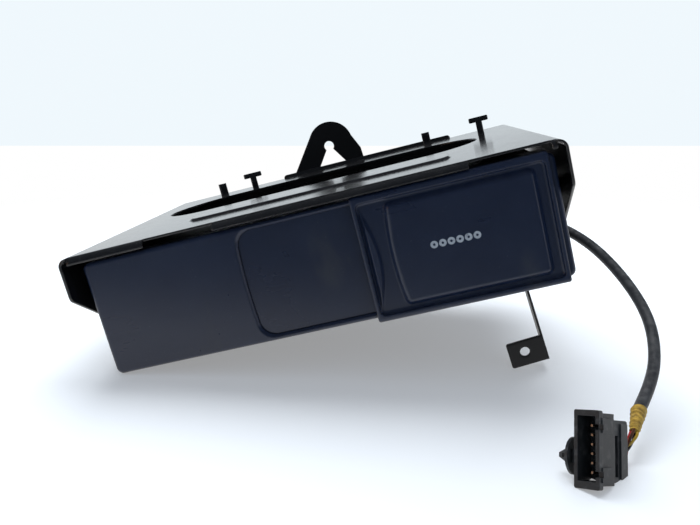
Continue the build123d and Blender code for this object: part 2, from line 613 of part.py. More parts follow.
def deck_frame():
    """Plate that rides on two posts, with cam pins, arm pillars and the sled's supports."""
    outline = rounded(DECK_LEFT, DECK_RIGHT, DECK_FRONT, DECK_REAR, 4.0)
    outline += rounded(DECK_RIGHT - 10, FINGER_X + 5, BAY_REAR + 0.5, DECK_REAR - 8, 2.0)
    plate = slab_z(outline, DECK_LOW, DECK_TOP)
    window = rounded(RODS_X[0] - 4, RODS_X[1] + 12, SLED_FRONT - 1.2, SCREW_END - 1, 3.0)
    window += rounded(DRIVE_X - 6, DRIVE_X + 6, SLED_MOTOR_REAR - SLED_MOTOR_LEN - 3, SLED_MOTOR_REAR + 2, 2.0)
    plate -= slab_z(window, DECK_LOW - 1, DECK_TOP + 1)
    plate -= rod((SPINDLE_X, SPINDLE_Y, DECK_LOW - 1), (0, 0, 1), SPINDLE_HOLE_R, DECK_T + 2)
    boss = DECK_T + 2 * POST_BOSS_RISE
    for x in POSTS:
        plate += rod((x, POST_Y, DECK_LOW - POST_BOSS_RISE), (0, 0, 1), POST_BOSS_R, boss)
    for x in POSTS:
        plate -= rod((x, POST_Y, DECK_LOW - POST_BOSS_RISE - 1), (0, 0, 1), POST_R + RUN_GAP, boss + 2)
    low = DECK_LOW - PAD_RISE
    high = DECK_TOP + PAD_RISE
    for y in LEFT_PINS:
        plate += rod((DECK_LEFT + 1, y, PIN_Z), (-1, 0, 0), PIN_R, DECK_LEFT + 1 - CAM_LEFT_X + SLIDE_GAP)
        plate += block(DECK_LEFT, DECK_LEFT + PAD_DEPTH, y - PAD_W / 2, y + PAD_W / 2, low, high)
    for x in REAR_PINS:
        plate += rod((x, DECK_REAR - 1, PIN_Z), (0, 1, 0), PIN_R, CAM_REAR_Y + CAM_T + 2.0 - DECK_REAR)
        plate += block(x - PAD_W / 2, x + PAD_W / 2, DECK_REAR - PAD_DEPTH, DECK_REAR, low, high)
    # supports for the guide rods, hung under the plate
    half = ROD_SUPPORT_W / 2
    for x in RODS_X:
        for y in (ROD_FRONT, ROD_REAR - ROD_SUPPORT_T):
            plate += block(x - half, x + half, y, y + ROD_SUPPORT_T, ROD_Z - ROD_DROP, DECK_LOW + 0.5)
            plate -= rod((x, y - 1, ROD_Z), (0, 1, 0), ROD_R + 0.02, ROD_SUPPORT_T + 2)
    # pillars of the clamp arm
    for side in (-1, 1):
        x = SPINDLE_X + side * (ARM_W / 2 + ARM_SIDE_GAP + PILLAR_T / 2)
        ear = Rectangle(2 * EYE_R - 0.4, ARM_PIVOT_Z - DECK_TOP + 1)
        ear = Pos(ARM_PIVOT_Y, (DECK_TOP + ARM_PIVOT_Z) / 2) * ear
        ear += Pos(ARM_PIVOT_Y, ARM_PIVOT_Z) * Circle(EYE_R)
        plate += slab_x(ear, x - PILLAR_T / 2, x + PILLAR_T / 2)
        plate -= rod((x - 5, ARM_PIVOT_Y, ARM_PIVOT_Z), (1, 0, 0), PIVOT_R + 0.02, 10)
    return plate


def lift_posts():
    """Two polished posts that guide the deck, fixed in the case floor."""
    return [rod((x, POST_Y, SHEET), (0, 0, 1), POST_R, CASE_H - 2 * SHEET - 0.1) for x in POSTS]


def spindle_motor():
    """Flat motor under the plate with its shaft."""
    body = rod((SPINDLE_X, SPINDLE_Y, DECK_LOW), (0, 0, -1), MOTOR_R, MOTOR_H)
    body = chamfer(body.faces().sort_by(Axis.Z)[0].edges(), 0.6)
    return body + rod((SPINDLE_X, SPINDLE_Y, DECK_LOW - 1), (0, 0, 1), SHAFT_R, PLATTER_TOP - DECK_LOW)


def turntable():
    """Platter with a centring cone, on the motor's shaft."""
    low = PLATTER_TOP - PLATTER_T
    bore = SHAFT_R + RUN_GAP
    cone = PLATTER_TOP + CONE_RISE
    profile = [(bore, low), (PLATTER_R, low), (PLATTER_R, PLATTER_TOP), (CONE_R, PLATTER_TOP),
               (CONE_R, cone - 1.4), (CONE_R - 1.7, cone), (bore, cone)]
    return Pos(SPINDLE_X, SPINDLE_Y, 0) * revolve(Plane.XZ * poly(*profile), Axis.Z)


def guide_rods():
    """Two ground rods that the pickup slides on."""
    return [rod((x, ROD_FRONT, ROD_Z), (0, 1, 0), ROD_R, ROD_REAR - ROD_FRONT) for x in RODS_X]


def pickup_sled():
    """Carriage on the rods with a nut arm at the screw."""
    y0 = SLED_FRONT
    y1 = SLED_FRONT + SLED_LEN
    low = ROD_Z - 2.4
    body = block(RODS_X[0] - 3, RODS_X[1] + 3, y0, y1, low, ROD_Z + 2.4)
    body += block(SPINDLE_X - 9, SPINDLE_X + 9, y0 + 2, y1 - 2, low, DECK_TOP + 1.2)
    body += block(RODS_X[1] + 2, DRIVE_X + 3.2, y0 + 5, y0 + 12, low, ROD_Z + 2.4)
    for x in RODS_X:
        body -= rod((x, y0 - 1, ROD_Z), (0, 1, 0), ROD_R + RUN_GAP, SLED_LEN + 2)
    body -= rod((DRIVE_X, y0, ROD_Z), (0, 1, 0), SCREW_R + RUN_GAP, SLED_LEN)
    return body - rod((SPINDLE_X, (y0 + y1) / 2, DECK_TOP - 1), (0, 0, 1), 4.5, 4)


def pickup_lens():
    """Objective lens in its round cell."""
    y = SLED_FRONT + SLED_LEN / 2
    cell = rod((SPINDLE_X, y, DECK_TOP - 1), (0, 0, 1), 4.3, 2.6)
    return cell + Pos(SPINDLE_X, y, DECK_TOP + 0.2) * (Sphere(2.6) & Pos(0, 0, 2) * Box(8, 8, 2))


def sled_screw():
    """Lead screw beside the rods."""
    return rod((DRIVE_X, SLED_MOTOR_REAR + 0.2, ROD_Z), (0, 1, 0), SCREW_R, SCREW_END + 1.5 - SLED_MOTOR_REAR)


def sled_motor():
    """Small motor that turns the lead screw, hung in the plate's cut-out."""
    y0 = SLED_MOTOR_REAR - SLED_MOTOR_LEN
    can = rod((DRIVE_X, y0, ROD_Z), (0, 1, 0), SLED_MOTOR_R, SLED_MOTOR_LEN)
    can = chamfer(can.edges().filter_by(GeomType.CIRCLE), 0.6)
    foot = block(DRIVE_X - 9, DRIVE_X + 9, y0 + 6, y0 + 12, DECK_LOW - 1.0, DECK_LOW)
    return can + foot


def sled_bearing():
    """Block under the plate that carries the free end of the lead screw."""
    y0 = SCREW_END - 2.6
    block_ = block(DRIVE_X - 3.4, DRIVE_X + 3.4, y0, y0 + 5, ROD_Z - 2.6, DECK_LOW)
    return block_ - rod((DRIVE_X, y0 - 1, ROD_Z), (0, 1, 0), SCREW_R + RUN_GAP, 7)


CLAMP_GAP = 1.4


def clamp_arm():
    """Pressed arm with side flanges, reaching from its pin to the spindle's axis."""
    half = ARM_W / 2
    outline = poly((SPINDLE_X - half, ARM_PIVOT_Y + 3), (SPINDLE_X - 6, SPINDLE_Y),
                   (SPINDLE_X + 6, SPINDLE_Y), (SPINDLE_X + half, ARM_PIVOT_Y + 3))
    outline += Pos(SPINDLE_X, SPINDLE_Y) * Circle(8.0)
    arm = slab_z(outline, ARM_LOW + 0.4, ARM_LOW + ARM_T)
    for side in (-1, 1):
        x = SPINDLE_X + side * (half - ARM_SHEET / 2)
        cheek = Pos(ARM_PIVOT_Y, ARM_PIVOT_Z) * Circle(EYE_R)
        cheek += Pos(ARM_PIVOT_Y - 9, ARM_PIVOT_Z + 0.7) * Rectangle(18, 2.6)
        arm += slab_x(cheek, x - ARM_SHEET / 2, x + ARM_SHEET / 2)
    arm -= rod((SPINDLE_X - ARM_W, ARM_PIVOT_Y, ARM_PIVOT_Z), (1, 0, 0), PIVOT_R + RUN_GAP, 2 * ARM_W)
    return arm - rod((SPINDLE_X, SPINDLE_Y, ARM_LOW - 1), (0, 0, 1), 3.0, 6)


def clamper():
    """Free-turning puck, headed above the arm's hole and broad below it."""
    low = ARM_LOW - CLAMP_GAP - 1.6
    profile = [(0, low), (CLAMPER_R, low), (CLAMPER_R, low + 1.6), (2.7, low + 1.6),
               (2.7, ARM_LOW + ARM_T + 0.3), (5.2, ARM_LOW + ARM_T + 0.3),
               (5.2, ARM_LOW + ARM_T + 1.3), (0, ARM_LOW + ARM_T + 1.3)]
    return Pos(SPINDLE_X, SPINDLE_Y, 0) * revolve(Plane.XZ * poly(*profile), Axis.Z)


def arm_pin():
    """Pin through the two pillars and the arm."""
    reach = ARM_W / 2 + ARM_SIDE_GAP + PILLAR_T + 0.7
    return rod((SPINDLE_X - reach, ARM_PIVOT_Y, ARM_PIVOT_Z), (1, 0, 0), PIVOT_R, 2 * reach)


def draw_rail():
    """Bar along the deck's rear that the drawing slider runs on, on two feet."""
    x0 = DECK_LEFT + 2
    x1 = FINGER_X + 4.5
    rail = block(x0, x1, RAIL_Y, RAIL_Y + RAIL_W, RAIL_Z, RAIL_Z + RAIL_T)
    for x in (x0, x1 - 3):
        rail += block(x, x + 3, RAIL_Y + 0.9, RAIL_Y + RAIL_W - 0.9, DECK_TOP, RAIL_Z + 0.5)
    return rail


def draw_slider():
    """Slider on the rail with the finger that hooks into a tray's notch."""
    x0 = FINGER_X - FINGER_W / 2
    x1 = FINGER_X + FINGER_W / 2
    gap = SLIDER_GAP
    body = block(x0 - 1.2, x1, RAIL_Y - 1.4, RAIL_Y + RAIL_W + 1.2, DECK_TOP + 0.6, TOP_TRAY_Z - 0.4)
    body -= block(x0 - 3, x1 + 1, RAIL_Y - gap, RAIL_Y + RAIL_W + gap, RAIL_Z - gap, RAIL_Z + RAIL_T + gap)
    body -= block(x0 - 3, x1 + 1, RAIL_Y + 0.6, RAIL_Y + RAIL_W - 0.6, DECK_TOP, RAIL_Z)
    finger = block(x0, x1, TRAY_REAR - NOTCH_DEPTH + 0.8, RAIL_Y + 1, TOP_TRAY_Z - 0.6, TOP_TRAY_Z + TRAY_T)
    return body + finger


# ---------------------------------------------------------------- lifting cams
CAM_LOW = SHEET + CAM_FLOOR_GAP
RACK_LINE = PIN_Z + LIFT_UP + PIN_R + 4.6
PINION_R = RACK_MODULE * PINION_TEETH / 2
PINION_Y = 28.0
PINION_Z = RACK_LINE + PINION_R
TOOTH_RISE = 0.8 * RACK_MODULE
TOOTH_SINK = 1.15 * RACK_MODULE
BACKLASH = 0.16
RACK_BEHIND = math.ceil(LIFT_DOWN / (math.pi * RACK_MODULE)) + 3
RACK_AHEAD = math.ceil(LIFT_UP / (math.pi * RACK_MODULE)) + 3


def cam_slot(across, height):
    """A slot at 45 degrees that lets a pin travel the deck's whole lift."""
    a = Vector(across - LIFT_DOWN, height - LIFT_DOWN)
    b = Vector(across + LIFT_UP, height + LIFT_UP)
    middle = (a + b) * 0.5
    length = (b - a).length + 2 * (PIN_R + SLOT_PLAY)
    return Pos(middle.X, middle.Y) * Rot(0, 0, 45) * SlotOverall(length, 2 * (PIN_R + SLOT_PLAY))


def cam_plate_left():
    """Left cam plate with two slots and a rack along its upper edge."""
    y0 = LEFT_PINS[0] - LIFT_DOWN - 5
    y1 = LEFT_PINS[1] + LIFT_UP + 8
    top = RACK_LINE - TOOTH_SINK
    sheet = poly((y0, CAM_LOW), (y1, CAM_LOW), (y1, top), (y0 + 26, top), (y0, top - 20))
    pitch = math.pi * RACK_MODULE
    slope = math.tan(math.radians(20))
    foot = pitch / 4 - BACKLASH + TOOTH_SINK * slope
    tip = pitch / 4 - BACKLASH - TOOTH_RISE * slope
    for k in range(-RACK_BEHIND, RACK_AHEAD):
        y = PINION_Y + (k + 0.5) * pitch
        sheet += poly((y - foot, top - 0.2), (y + foot, top - 0.2),
                      (y + tip, RACK_LINE + TOOTH_RISE), (y - tip, RACK_LINE + TOOTH_RISE))
    for y in LEFT_PINS:
        sheet -= cam_slot(y, PIN_Z)
    return slab_x(sheet, CAM_LEFT_X, CAM_LEFT_X + CAM_T)


def cam_plate_rear():
    """Rear cam plate with two slots."""
    x0 = REAR_PINS[0] - LIFT_DOWN - 5
    x1 = REAR_PINS[1] + LIFT_UP + 6
    top = PIN_Z + LIFT_UP + PIN_R + 3
    sheet = rounded(x0, x1, CAM_LOW, top, 3.0)
    for x in REAR_PINS:
        sheet -= cam_slot(x, PIN_Z)
    return slab_y(sheet, CAM_REAR_Y, CAM_REAR_Y + CAM_T)


def tooth_flank(base_r, root_r, tip_r, half_angle):
    """Points up one side of an involute tooth, as radius and angle from its middle."""
    def involute(r):
        a = math.acos(min(1.0, base_r / r))
        return math.tan(a) - a
    at_pitch = involute(PINION_R)
    points = [(root_r, half_angle + at_pitch + 0.02)]
    for step in range(5):
        r = base_r + (tip_r - base_r) * step / 4
        points.append((r, half_angle + at_pitch - involute(r)))
    return points


def lift_pinion():
    """Twelve-tooth pinion on a short shaft above the left cam plate's rack."""
    root = PINION_R - TOOTH_SINK
    tip = PINION_R + TOOTH_RISE
    base = max(root + 0.05, PINION_R * math.cos(math.radians(20)))
    half = math.pi / 2 / PINION_TEETH - BACKLASH / PINION_R
    flank = tooth_flank(base, root, tip, half)
    points = []
    for k in range(PINION_TEETH):
        middle = -math.pi / 2 + 2 * math.pi * k / PINION_TEETH
        points += [(r * math.cos(middle - a), r * math.sin(middle - a)) for r, a in flank]
        points += [(r * math.cos(middle + a), r * math.sin(middle + a)) for r, a in reversed(flank)]
    wheel = slab_x(Pos(PINION_Y, PINION_Z) * poly(*points), CAM_LEFT_X, CAM_LEFT_X + CAM_T + 0.6)
    return wheel + rod((CAM_LEFT_X + CAM_T, PINION_Y, PINION_Z), (1, 0, 0), 1.5, 4.0)


GEARBOX_LEFT = CAM_LEFT_X + CAM_T + 2.4


def lift_gearmotor():
    """Closed gearbox with its motor, hung from the cover above the trays."""
    x0 = GEARBOX_LEFT
    low = TOP_TRAY_Z + TRAY_T + 1.4
    high = CASE_H - 2 * SHEET
    box = block(x0, x0 + 14, PINION_Y - 10, PINION_Y + 26, low, high)
    box = fillet(box.edges().filter_by(Axis.X), 2.0)
    box -= rod((x0 - 1, PINION_Y, PINION_Z), (1, 0, 0), 1.5 + RUN_GAP, 5)
    r = (high - low) / 2 - 0.6
    return box + rod((x0 + 13, PINION_Y + 17, (low + high) / 2), (1, 0, 0), r, 20)


# ---------------------------------------------------------------- main board
BOARD_Z = 5.0
BOARD_T = 1.6
BOARD_X0 = -12.0
BOARD_X1 = 112.0
BOARD_HALF_D = 62.0
STAND_OFF_R = 3.0
SPIGOT_R = 1.5
CAPACITOR_R = 3.2
CAPACITOR_H = 6.4
CAPACITOR_PITCH = 11.0
HEADER_W = 18.0
# chips, as left, front, width, depth and height
CHIPS = [(30, -20, 14, 14, 1.6), (62, 14, 12, 12, 1.6), (20, 26, 9, 6, 1.4), (84, -30, 8, 10, 1.4)]
STAND_OFFS = [(x, y) for x in (BOARD_X0 + 5, BOARD_X1 - 5) for y in (-BOARD_HALF_D + 5, BOARD_HALF_D - 5)]


def main_board():
    """Circuit board under the magazine's table."""
    card = slab_z(rounded(BOARD_X0, BOARD_X1, -BOARD_HALF_D, BOARD_HALF_D, 2.0), BOARD_Z, BOARD_Z + BOARD_T)
    for x, y in STAND_OFFS:
        card -= rod((x, y, BOARD_Z - 1), (0, 0, 1), SPIGOT_R + HOLE_PLAY, BOARD_T + 2)
    return card


def board_stand_offs():
    """Turned spacers with a spigot that locates the board."""
    return [rod((x, y, SHEET), (0, 0, 1), STAND_OFF_R, BOARD_Z - SHEET) +
            rod((x, y, BOARD_Z), (0, 0, 1), SPIGOT_R, BOARD_T) for x, y in STAND_OFFS]


def board_parts():
    """Chips, capacitors and the inner harness header on the board."""
    top = BOARD_Z + BOARD_T
    parts = [block(x, x + w, y, y + d, top, top + h) for x, y, w, d, h in CHIPS]
    middle = (BOARD_X0 + BOARD_X1) / 2
    for k in range(3):
        spot = (middle + CAPACITOR_PITCH * k, 18 - BOARD_HALF_D, top)
        parts.append(rod(spot, (0, 0, 1), CAPACITOR_R, CAPACITOR_H))
    half = HEADER_W / 2
    parts.append(block(BOARD_X1 - 16, BOARD_X1 - 10, BOOT_Y - half, BOOT_Y + half, top, top + HEADER_W / 3))
    return parts


# ---------------------------------------------------------------- bracket
def front_lip(x0, x1, radius, turn):
    """A strip of the plate's front edge rolled down through an angle."""
    inner = radius - BRACKET_T
    start_y = BRACKET_FRONT + radius * math.sin(math.radians(turn))
    centre = (start_y, BRACKET_TOP - radius)

    def at(r, degrees):
        a = math.radians(degrees)
        return (centre[0] - r * math.sin(a), centre[1] + r * math.cos(a))

    ring = make_face([ThreePointArc(at(radius, 0), at(radius, turn / 2), at(radius, turn)),
                      Line(at(radius, turn), at(inner, turn)),
                      ThreePointArc(at(inner, turn), at(inner, turn / 2), at(inner, 0)),
                      Line(at(inner, 0), at(radius, 0))])
    strip = slab_x(ring, x0, x1)
    return strip + block(x0, x1, start_y - 0.01, BRACKET_FRONT + LIP_R + 6, PLATE_LOW, BRACKET_TOP)


def tab(x, y, z0, outline):
    """An upright tab of the sheet's thickness, drawn about its foot."""
    return slab_y(Pos(x, z0) * outline, y, y + BRACKET_T)


HOOK_LEFT = HOOK_X - 37.5           # foot of the hook plate
HOOK_RIGHT = HOOK_X + 28.5
RIVETS_X = (HOOK_LEFT + 8, (HOOK_LEFT + HOOK_RIGHT) / 2, HOOK_RIGHT - 8)
RIVET_Z = BRACKET_TOP - 0.6 * APRON_DROP
RIVET_R = 1.6
RIVET_HEAD_R = 2.8
RIVET_HEAD_H = 0.9
HOLE_REAR = HOLE_Y + HOLE_W / 2
HOLE_RIGHT = HOLE_X + HOLE_LEN / 2
HOLE_LEFT = HOLE_X - HOLE_LEN / 2


def mounting_bracket():
    """Channel pressed from one sheet, open below, with the case hung inside it."""
    d = BRACKET_T
    outer = make_face(Polyline((BRACKET_LEFT, FLANGE_LOW), (BRACKET_LEFT, BRACKET_TOP),
                               (BRACKET_RIGHT, BRACKET_TOP), (BRACKET_RIGHT, FLANGE_LOW), close=True))
    outer = fillet(outer.vertices().group_by(Axis.Y)[-1], BRACKET_R)
    inner = make_face(Polyline((BRACKET_LEFT + d, FLANGE_LOW - 1), (BRACKET_LEFT + d, PLATE_LOW),
                               (BRACKET_RIGHT - d, PLATE_LOW), (BRACKET_RIGHT - d, FLANGE_LOW - 1),
                               close=True))
    inner = fillet(inner.vertices().group_by(Axis.Y)[-1], BRACKET_R - d)
    channel = slab_y(outer - inner, BRACKET_FRONT, BRACKET_REAR)
    knee = BRACKET_TOP - FLANGE_FRONT_DROP
    side = poly((BRACKET_FRONT, knee), (BRACKET_FRONT + 36, knee - 21.5), (BRACKET_FRONT + 43, FLANGE_LOW),
                (BRACKET_REAR - 8, FLANGE_LOW), (BRACKET_REAR, FLANGE_LOW + 8),
                (BRACKET_REAR, BRACKET_TOP + 1), (BRACKET_FRONT, BRACKET_TOP + 1))
    side = fillet(side.vertices().sort_by(Axis.X)[:2].sort_by(Axis.Y)[0], 4.0)
    channel = channel & slab_x(side, BRACKET_LEFT - 1, BRACKET_RIGHT + 1)
    # the front edge: cut back, then rolled lips between the notches
    inside_left = BRACKET_LEFT + BRACKET_R
    inside_right = BRACKET_RIGHT - BRACKET_R
    channel -= block(inside_left, inside_right, BRACKET_FRONT - 1, BRACKET_FRONT + LIP_R,
                     PLATE_LOW - 1, BRACKET_TOP + 1)
    channel += front_lip(inside_left, NOTCH_1[0], LIP_R, 90)
    channel += front_lip(NOTCH_1[1], NOTCH_2[0], MID_LIP_R, MID_LIP_TURN)
    channel += front_lip(NOTCH_2[1], inside_right, LIP_R, 90)
    # stiffening emboss behind the front edge
    pad = rounded(-77.5, 82.5, -66, -32, 9)
    channel += extrude(Pos(0, 0, BRACKET_TOP - 0.01) * pad, EMBOSS_RISE, taper=50)
    channel -= extrude(Pos(0, 0, PLATE_LOW - 0.01) * offset(pad, -0.6), EMBOSS_RISE, taper=50)
    # the great hole that clears the case's lid
    hole = Pos(HOLE_X, HOLE_Y) * SlotOverall(HOLE_LEN, HOLE_W)
    channel -= slab_z(hole, PLATE_LOW - 2, BRACKET_TOP + 2)
    # rear edge: an apron below and a low raised strip above
    rear = BRACKET_REAR - d
    apron = rounded(inside_left + 1, inside_right - 1, BRACKET_TOP - APRON_DROP, BRACKET_TOP + 5, 4.0)
    apron &= Rectangle(BRACKET_RIGHT - BRACKET_LEFT + 99, 2 * BRACKET_TOP)
    channel += slab_y(apron, rear, BRACKET_REAR)
    strip = rounded(STRIP_LEFT, STRIP_RIGHT, BRACKET_TOP - 6, BRACKET_TOP + STRIP_RISE, 0.9 * STRIP_RISE)
    channel += slab_y(strip, rear, BRACKET_REAR)
    for x in RIVETS_X:
        channel -= rod((x, rear - 1, RIVET_Z), (0, 1, 0), RIVET_R + HOLE_PLAY, d + 2)
    # upright tabs lanced out of the plate
    stem = Pos(0, TEE_RISE / 2 - 1) * Rectangle(TEE_STEM, TEE_RISE)
    tee = stem + Pos(0, TEE_RISE - 1.8) * RectangleRounded(TEE_BAR, 3.6, 0.8)
    channel += tab(HOLE_LEFT + TEE_LEFT_IN, HOLE_REAR + TEE_MARGIN, BRACKET_TOP, tee)
    channel += tab(HOLE_RIGHT + TEE_MARGIN + TEE_STEM, HOLE_REAR - TEE_STEM, BRACKET_TOP, tee)
    post = Pos(0, POST_RISE / 2 - 0.5) * Rectangle(POST_W, POST_RISE + 1)
    channel += tab(HOLE_LEFT + 22.1, rear - 15, BRACKET_TOP, post)
    channel += tab(STRIP_RIGHT - 18.7, rear - 7, BRACKET_TOP, post)
    for y in BUSH_YS:
        for x, way in ((BRACKET_LEFT, -1), (BRACKET_RIGHT, 1)):
            channel -= rod((x - 3 * way, y, BUSH_Z), (way, 0, 0), BUSH_HOLE_R, 6)
    return channel


def hook_plate():
    """Hanging eye: rounded plate with a keyhole slot, riveted to the rear apron."""
    low = BRACKET_TOP - APRON_DROP + 0.5
    shoulder = HOOK_LEFT + 4.5
    shape = poly((HOOK_LEFT, low), (HOOK_LEFT, BRACKET_TOP - 2), (shoulder, BRACKET_TOP + 3.7),
                 (HOOK_RIGHT - 5.4, BRACKET_TOP + 10), (HOOK_RIGHT - 4.6, BRACKET_TOP),
                 (HOOK_RIGHT, BRACKET_TOP - 2), (HOOK_RIGHT, low))
    shape = fillet(shape.vertices().group_by(Axis.Y)[0], 3.0)
    shape += Pos(HOOK_X, HOOK_Z) * Circle(HOOK_R)
    shape += poly((shoulder, BRACKET_TOP + 3.7), (HOOK_X - HOOK_R * 0.86, HOOK_Z + HOOK_R * 0.51),
                  (HOOK_X, HOOK_Z), (HOOK_X, BRACKET_TOP))
    shape += poly((HOOK_RIGHT - 5.4, BRACKET_TOP + 10), (HOOK_X + HOOK_R * 0.78, HOOK_Z + HOOK_R * 0.63),
                  (HOOK_X, HOOK_Z), (HOOK_X, BRACKET_TOP))
    eye_x = HOOK_X - 1.8
    eye_z = HOOK_Z - 1.3
    foot = BRACKET_TOP - 3.5
    knee = BRACKET_TOP + 0.5
    shape -= poly((eye_x - 2.4, eye_z - 2), (eye_x + 2.2, eye_z - 2), (eye_x + 11.8, knee),
                  (eye_x + 9.3, foot), (eye_x - 10.2, foot), (eye_x - 12.5, knee))
    shape -= Pos(eye_x, eye_z) * Circle(HOOK_HOLE_R)
    plate = slab_y(shape, BRACKET_REAR, BRACKET_REAR + BRACKET_T)
    for x in RIVETS_X:
        plate -= rod((x, BRACKET_REAR - 1, RIVET_Z), (0, 1, 0), RIVET_R + HOLE_PLAY, BRACKET_T + 2)
    return plate


def hook_rivets():
    """Three rivets through the apron and the hook plate."""
    rear = BRACKET_REAR + BRACKET_T
    front = BRACKET_REAR - BRACKET_T
    rivets = []
    for x in RIVETS_X:
        shank = rod((x, front - 0.5, RIVET_Z), (0, 1, 0), RIVET_R, rear - front + 1)
        for y in (front - RIVET_HEAD_H, rear):
            shank += rod((x, y, RIVET_Z), (0, 1, 0), RIVET_HEAD_R, RIVET_HEAD_H)
        rivets.append(shank)
    return rivets


def rubber_bushes():
    """Four turned rubber spools between the bracket's flanges and the case."""
    bushes = []
    for y in BUSH_YS:
        for side, flange in ((-1, BRACKET_LEFT + BRACKET_T), (1, BRACKET_RIGHT - BRACKET_T)):
            gap = abs(flange) - CASE_X
            bore = BUSH_SCREW_R + HOLE_PLAY
            waist = BUSH_R - BUSH_WAIST
            profile = [(bore, 0), (BUSH_R, 0), (BUSH_R, gap * 0.28), (waist, gap * 0.4),
                       (waist, gap * 0.6), (BUSH_R, gap * 0.72), (BUSH_R, gap), (bore, gap)]
            spool = revolve(Plane.XZ * poly(*profile), Axis.Z)
            seat = Plane(origin=(side * CASE_X, y, BUSH_Z), z_dir=(side, 0, 0))
            bushes.append(seat * spool)
    return bushes


def bush_screws():
    """Four screws through flange, bush and case side."""
    screws = []
    for y in BUSH_YS:
        for side, flange in ((-1, BRACKET_LEFT), (1, BRACKET_RIGHT)):
            head = rod((flange, y, BUSH_Z), (side, 0, 0), SCREW_HEAD_R, SCREW_HEAD_H)
            head = chamfer(head.faces().sort_by(Axis.X)[0 if side < 0 else -1].edges(), 0.7)
            shank = abs(flange) - CASE_X + SHEET
            screws.append(head + rod((flange, y, BUSH_Z), (-side, 0, 0), BUSH_SCREW_R, shank))
    return screws


# ---------------------------------------------------------------- leg
def leg_bracket():
    """Bent strip under the case: a tab, a splayed leg and a drilled foot."""
    t = BRACKET_T
    leg = block(-t / 2, t / 2, -LEG_W / 2, LEG_W / 2, -LEG_LEN, 0.3)
    foot = rounded(-FOOT_W, t / 2, -LEG_LEN, -LEG_LEN + FOOT_H, 1.4)
    foot = slab_y(foot, -LEG_W / 2, -LEG_W / 2 + t)
    foot -= rod((-FOOT_W * 0.55, -LEG_W, -LEG_LEN + FOOT_H * 0.54), (0, 1, 0), FOOT_HOLE_R, LEG_W)
    splayed = Pos(LEG_X, LEG_Y, -t / 2) * Rot(0, -LEG_SPLAY, 0) * (leg + foot)
    flat = block(LEG_X - LEG_TAB, LEG_X + t / 2, LEG_Y - LEG_W / 2, LEG_Y + LEG_W / 2, -t, 0)
    flat = fillet(flat.edges().filter_by(Axis.Z).group_by(Axis.X)[0], 3.0)
    bracket = flat + (splayed & block(-200, 200, -200, 200, -200, -t / 4))
    for x in LEG_SCREW_XS:
        bracket -= rod((x, LEG_Y, -3), (0, 0, 1), LEG_SCREW_R + HOLE_PLAY, 6)
    return bracket


def leg_screws():
    """Two screws that hold the leg to the case floor."""
    return [rod((x, LEG_Y, -BRACKET_T), (0, 0, -1), LEG_HEAD_R, LEG_HEAD_H) +
            rod((x, LEG_Y, -BRACKET_T), (0, 0, 1), LEG_SCREW_R, 4.5) for x in LEG_SCREW_XS]


# ---------------------------------------------------------------- harness
ROUTE = [(138.0, -13.0, 10.5), (145.5, -34.0, 6.7), (155.5, -52.0, -4.3), (162.5, -75.0, -19.3),
         (164.5, -97.0, -33.3), (158.5, -120.0, -44.3), (148.5, -139.0, -51.3), (137.6, -155.2, -53.9)]
TAPE_END = (131.0, -168.5, -56.8)
PLUG_CORNER = (97.0, -197.9, -60.4)
PLUG_ACROSS = (0.771, -0.631, 0.086)
PLUG_UP = (0.253, 0.428, 0.868)
PLUG_W = 11.3
PLUG_H = 31.8
PLUG_MOUTH = 13.4
PLUG_LEN = 25.7
PLUG_WALL = 1.2
PLUG = Plane(origin=PLUG_CORNER, x_dir=PLUG_ACROSS, z_dir=PLUG_UP)


def corner_radii(route):
    """Each corner's radius: 0.45 of its shorter run over the tangent of half its turn."""
    points = [Vector(*p) for p in route]
    radii = []
    for before, here, after in zip(points, points[1:], points[2:]):
        turn = math.radians((here - before).get_angle(after - here))
        run = min((here - before).length, (after - here).length)
        radii.append(0.45 * run / math.tan(turn / 2))
    return radii


def tube(route, radius):
    """A round tube along straight runs joined by tangent arcs."""
    path = FilletPolyline(*route, radius=corner_radii(route))
    start = Vector(*route[0])
    ahead = Vector(*route[1]) - start
    return sweep(Plane(origin=start, z_dir=ahead) * Circle(radius), path=path)


def cable_boot():
    """Moulded elbow on the case side that turns the cable forward."""
    out = Vector(*ROUTE[0])
    back = (Vector(*ROUTE[0]) - Vector(*ROUTE[1])).normalized()
    bend = out + back * ((BOOT_Z - out.Z) / back.Z)
    wall = Vector(CASE_X, bend.Y, BOOT_Z)
    path = FilletPolyline(wall, bend, out, radius=5.0)
    elbow = sweep(Plane(origin=wall, z_dir=(1, 0, 0)) * Circle(BOOT_R), path=path)
    plate = rod((CASE_X, bend.Y, BOOT_Z), (1, 0, 0), BOOT_FLANGE_R, 2.0)
    plate = chamfer(plate.faces().sort_by(Axis.X)[-1].edges(), 0.7)
    return elbow + plate


def cable_sheath():
    """The sheathed cable from the boot to the tape."""
    return tube(ROUTE, CABLE_R)


def cable_tape():
    """Tape wound over the sheath's end, tapering to the loose wires."""
    start = Vector(*ROUTE[-1])
    wide = Plane(origin=start, z_dir=start - Vector(*ROUTE[-2])) * Circle(CABLE_R + TAPE_T)
    narrow = Plane(origin=TAPE_END, z_dir=Vector(*TAPE_END) - start) * Circle(TAPE_NECK_R)
    return loft([wide, narrow], ruled=True)


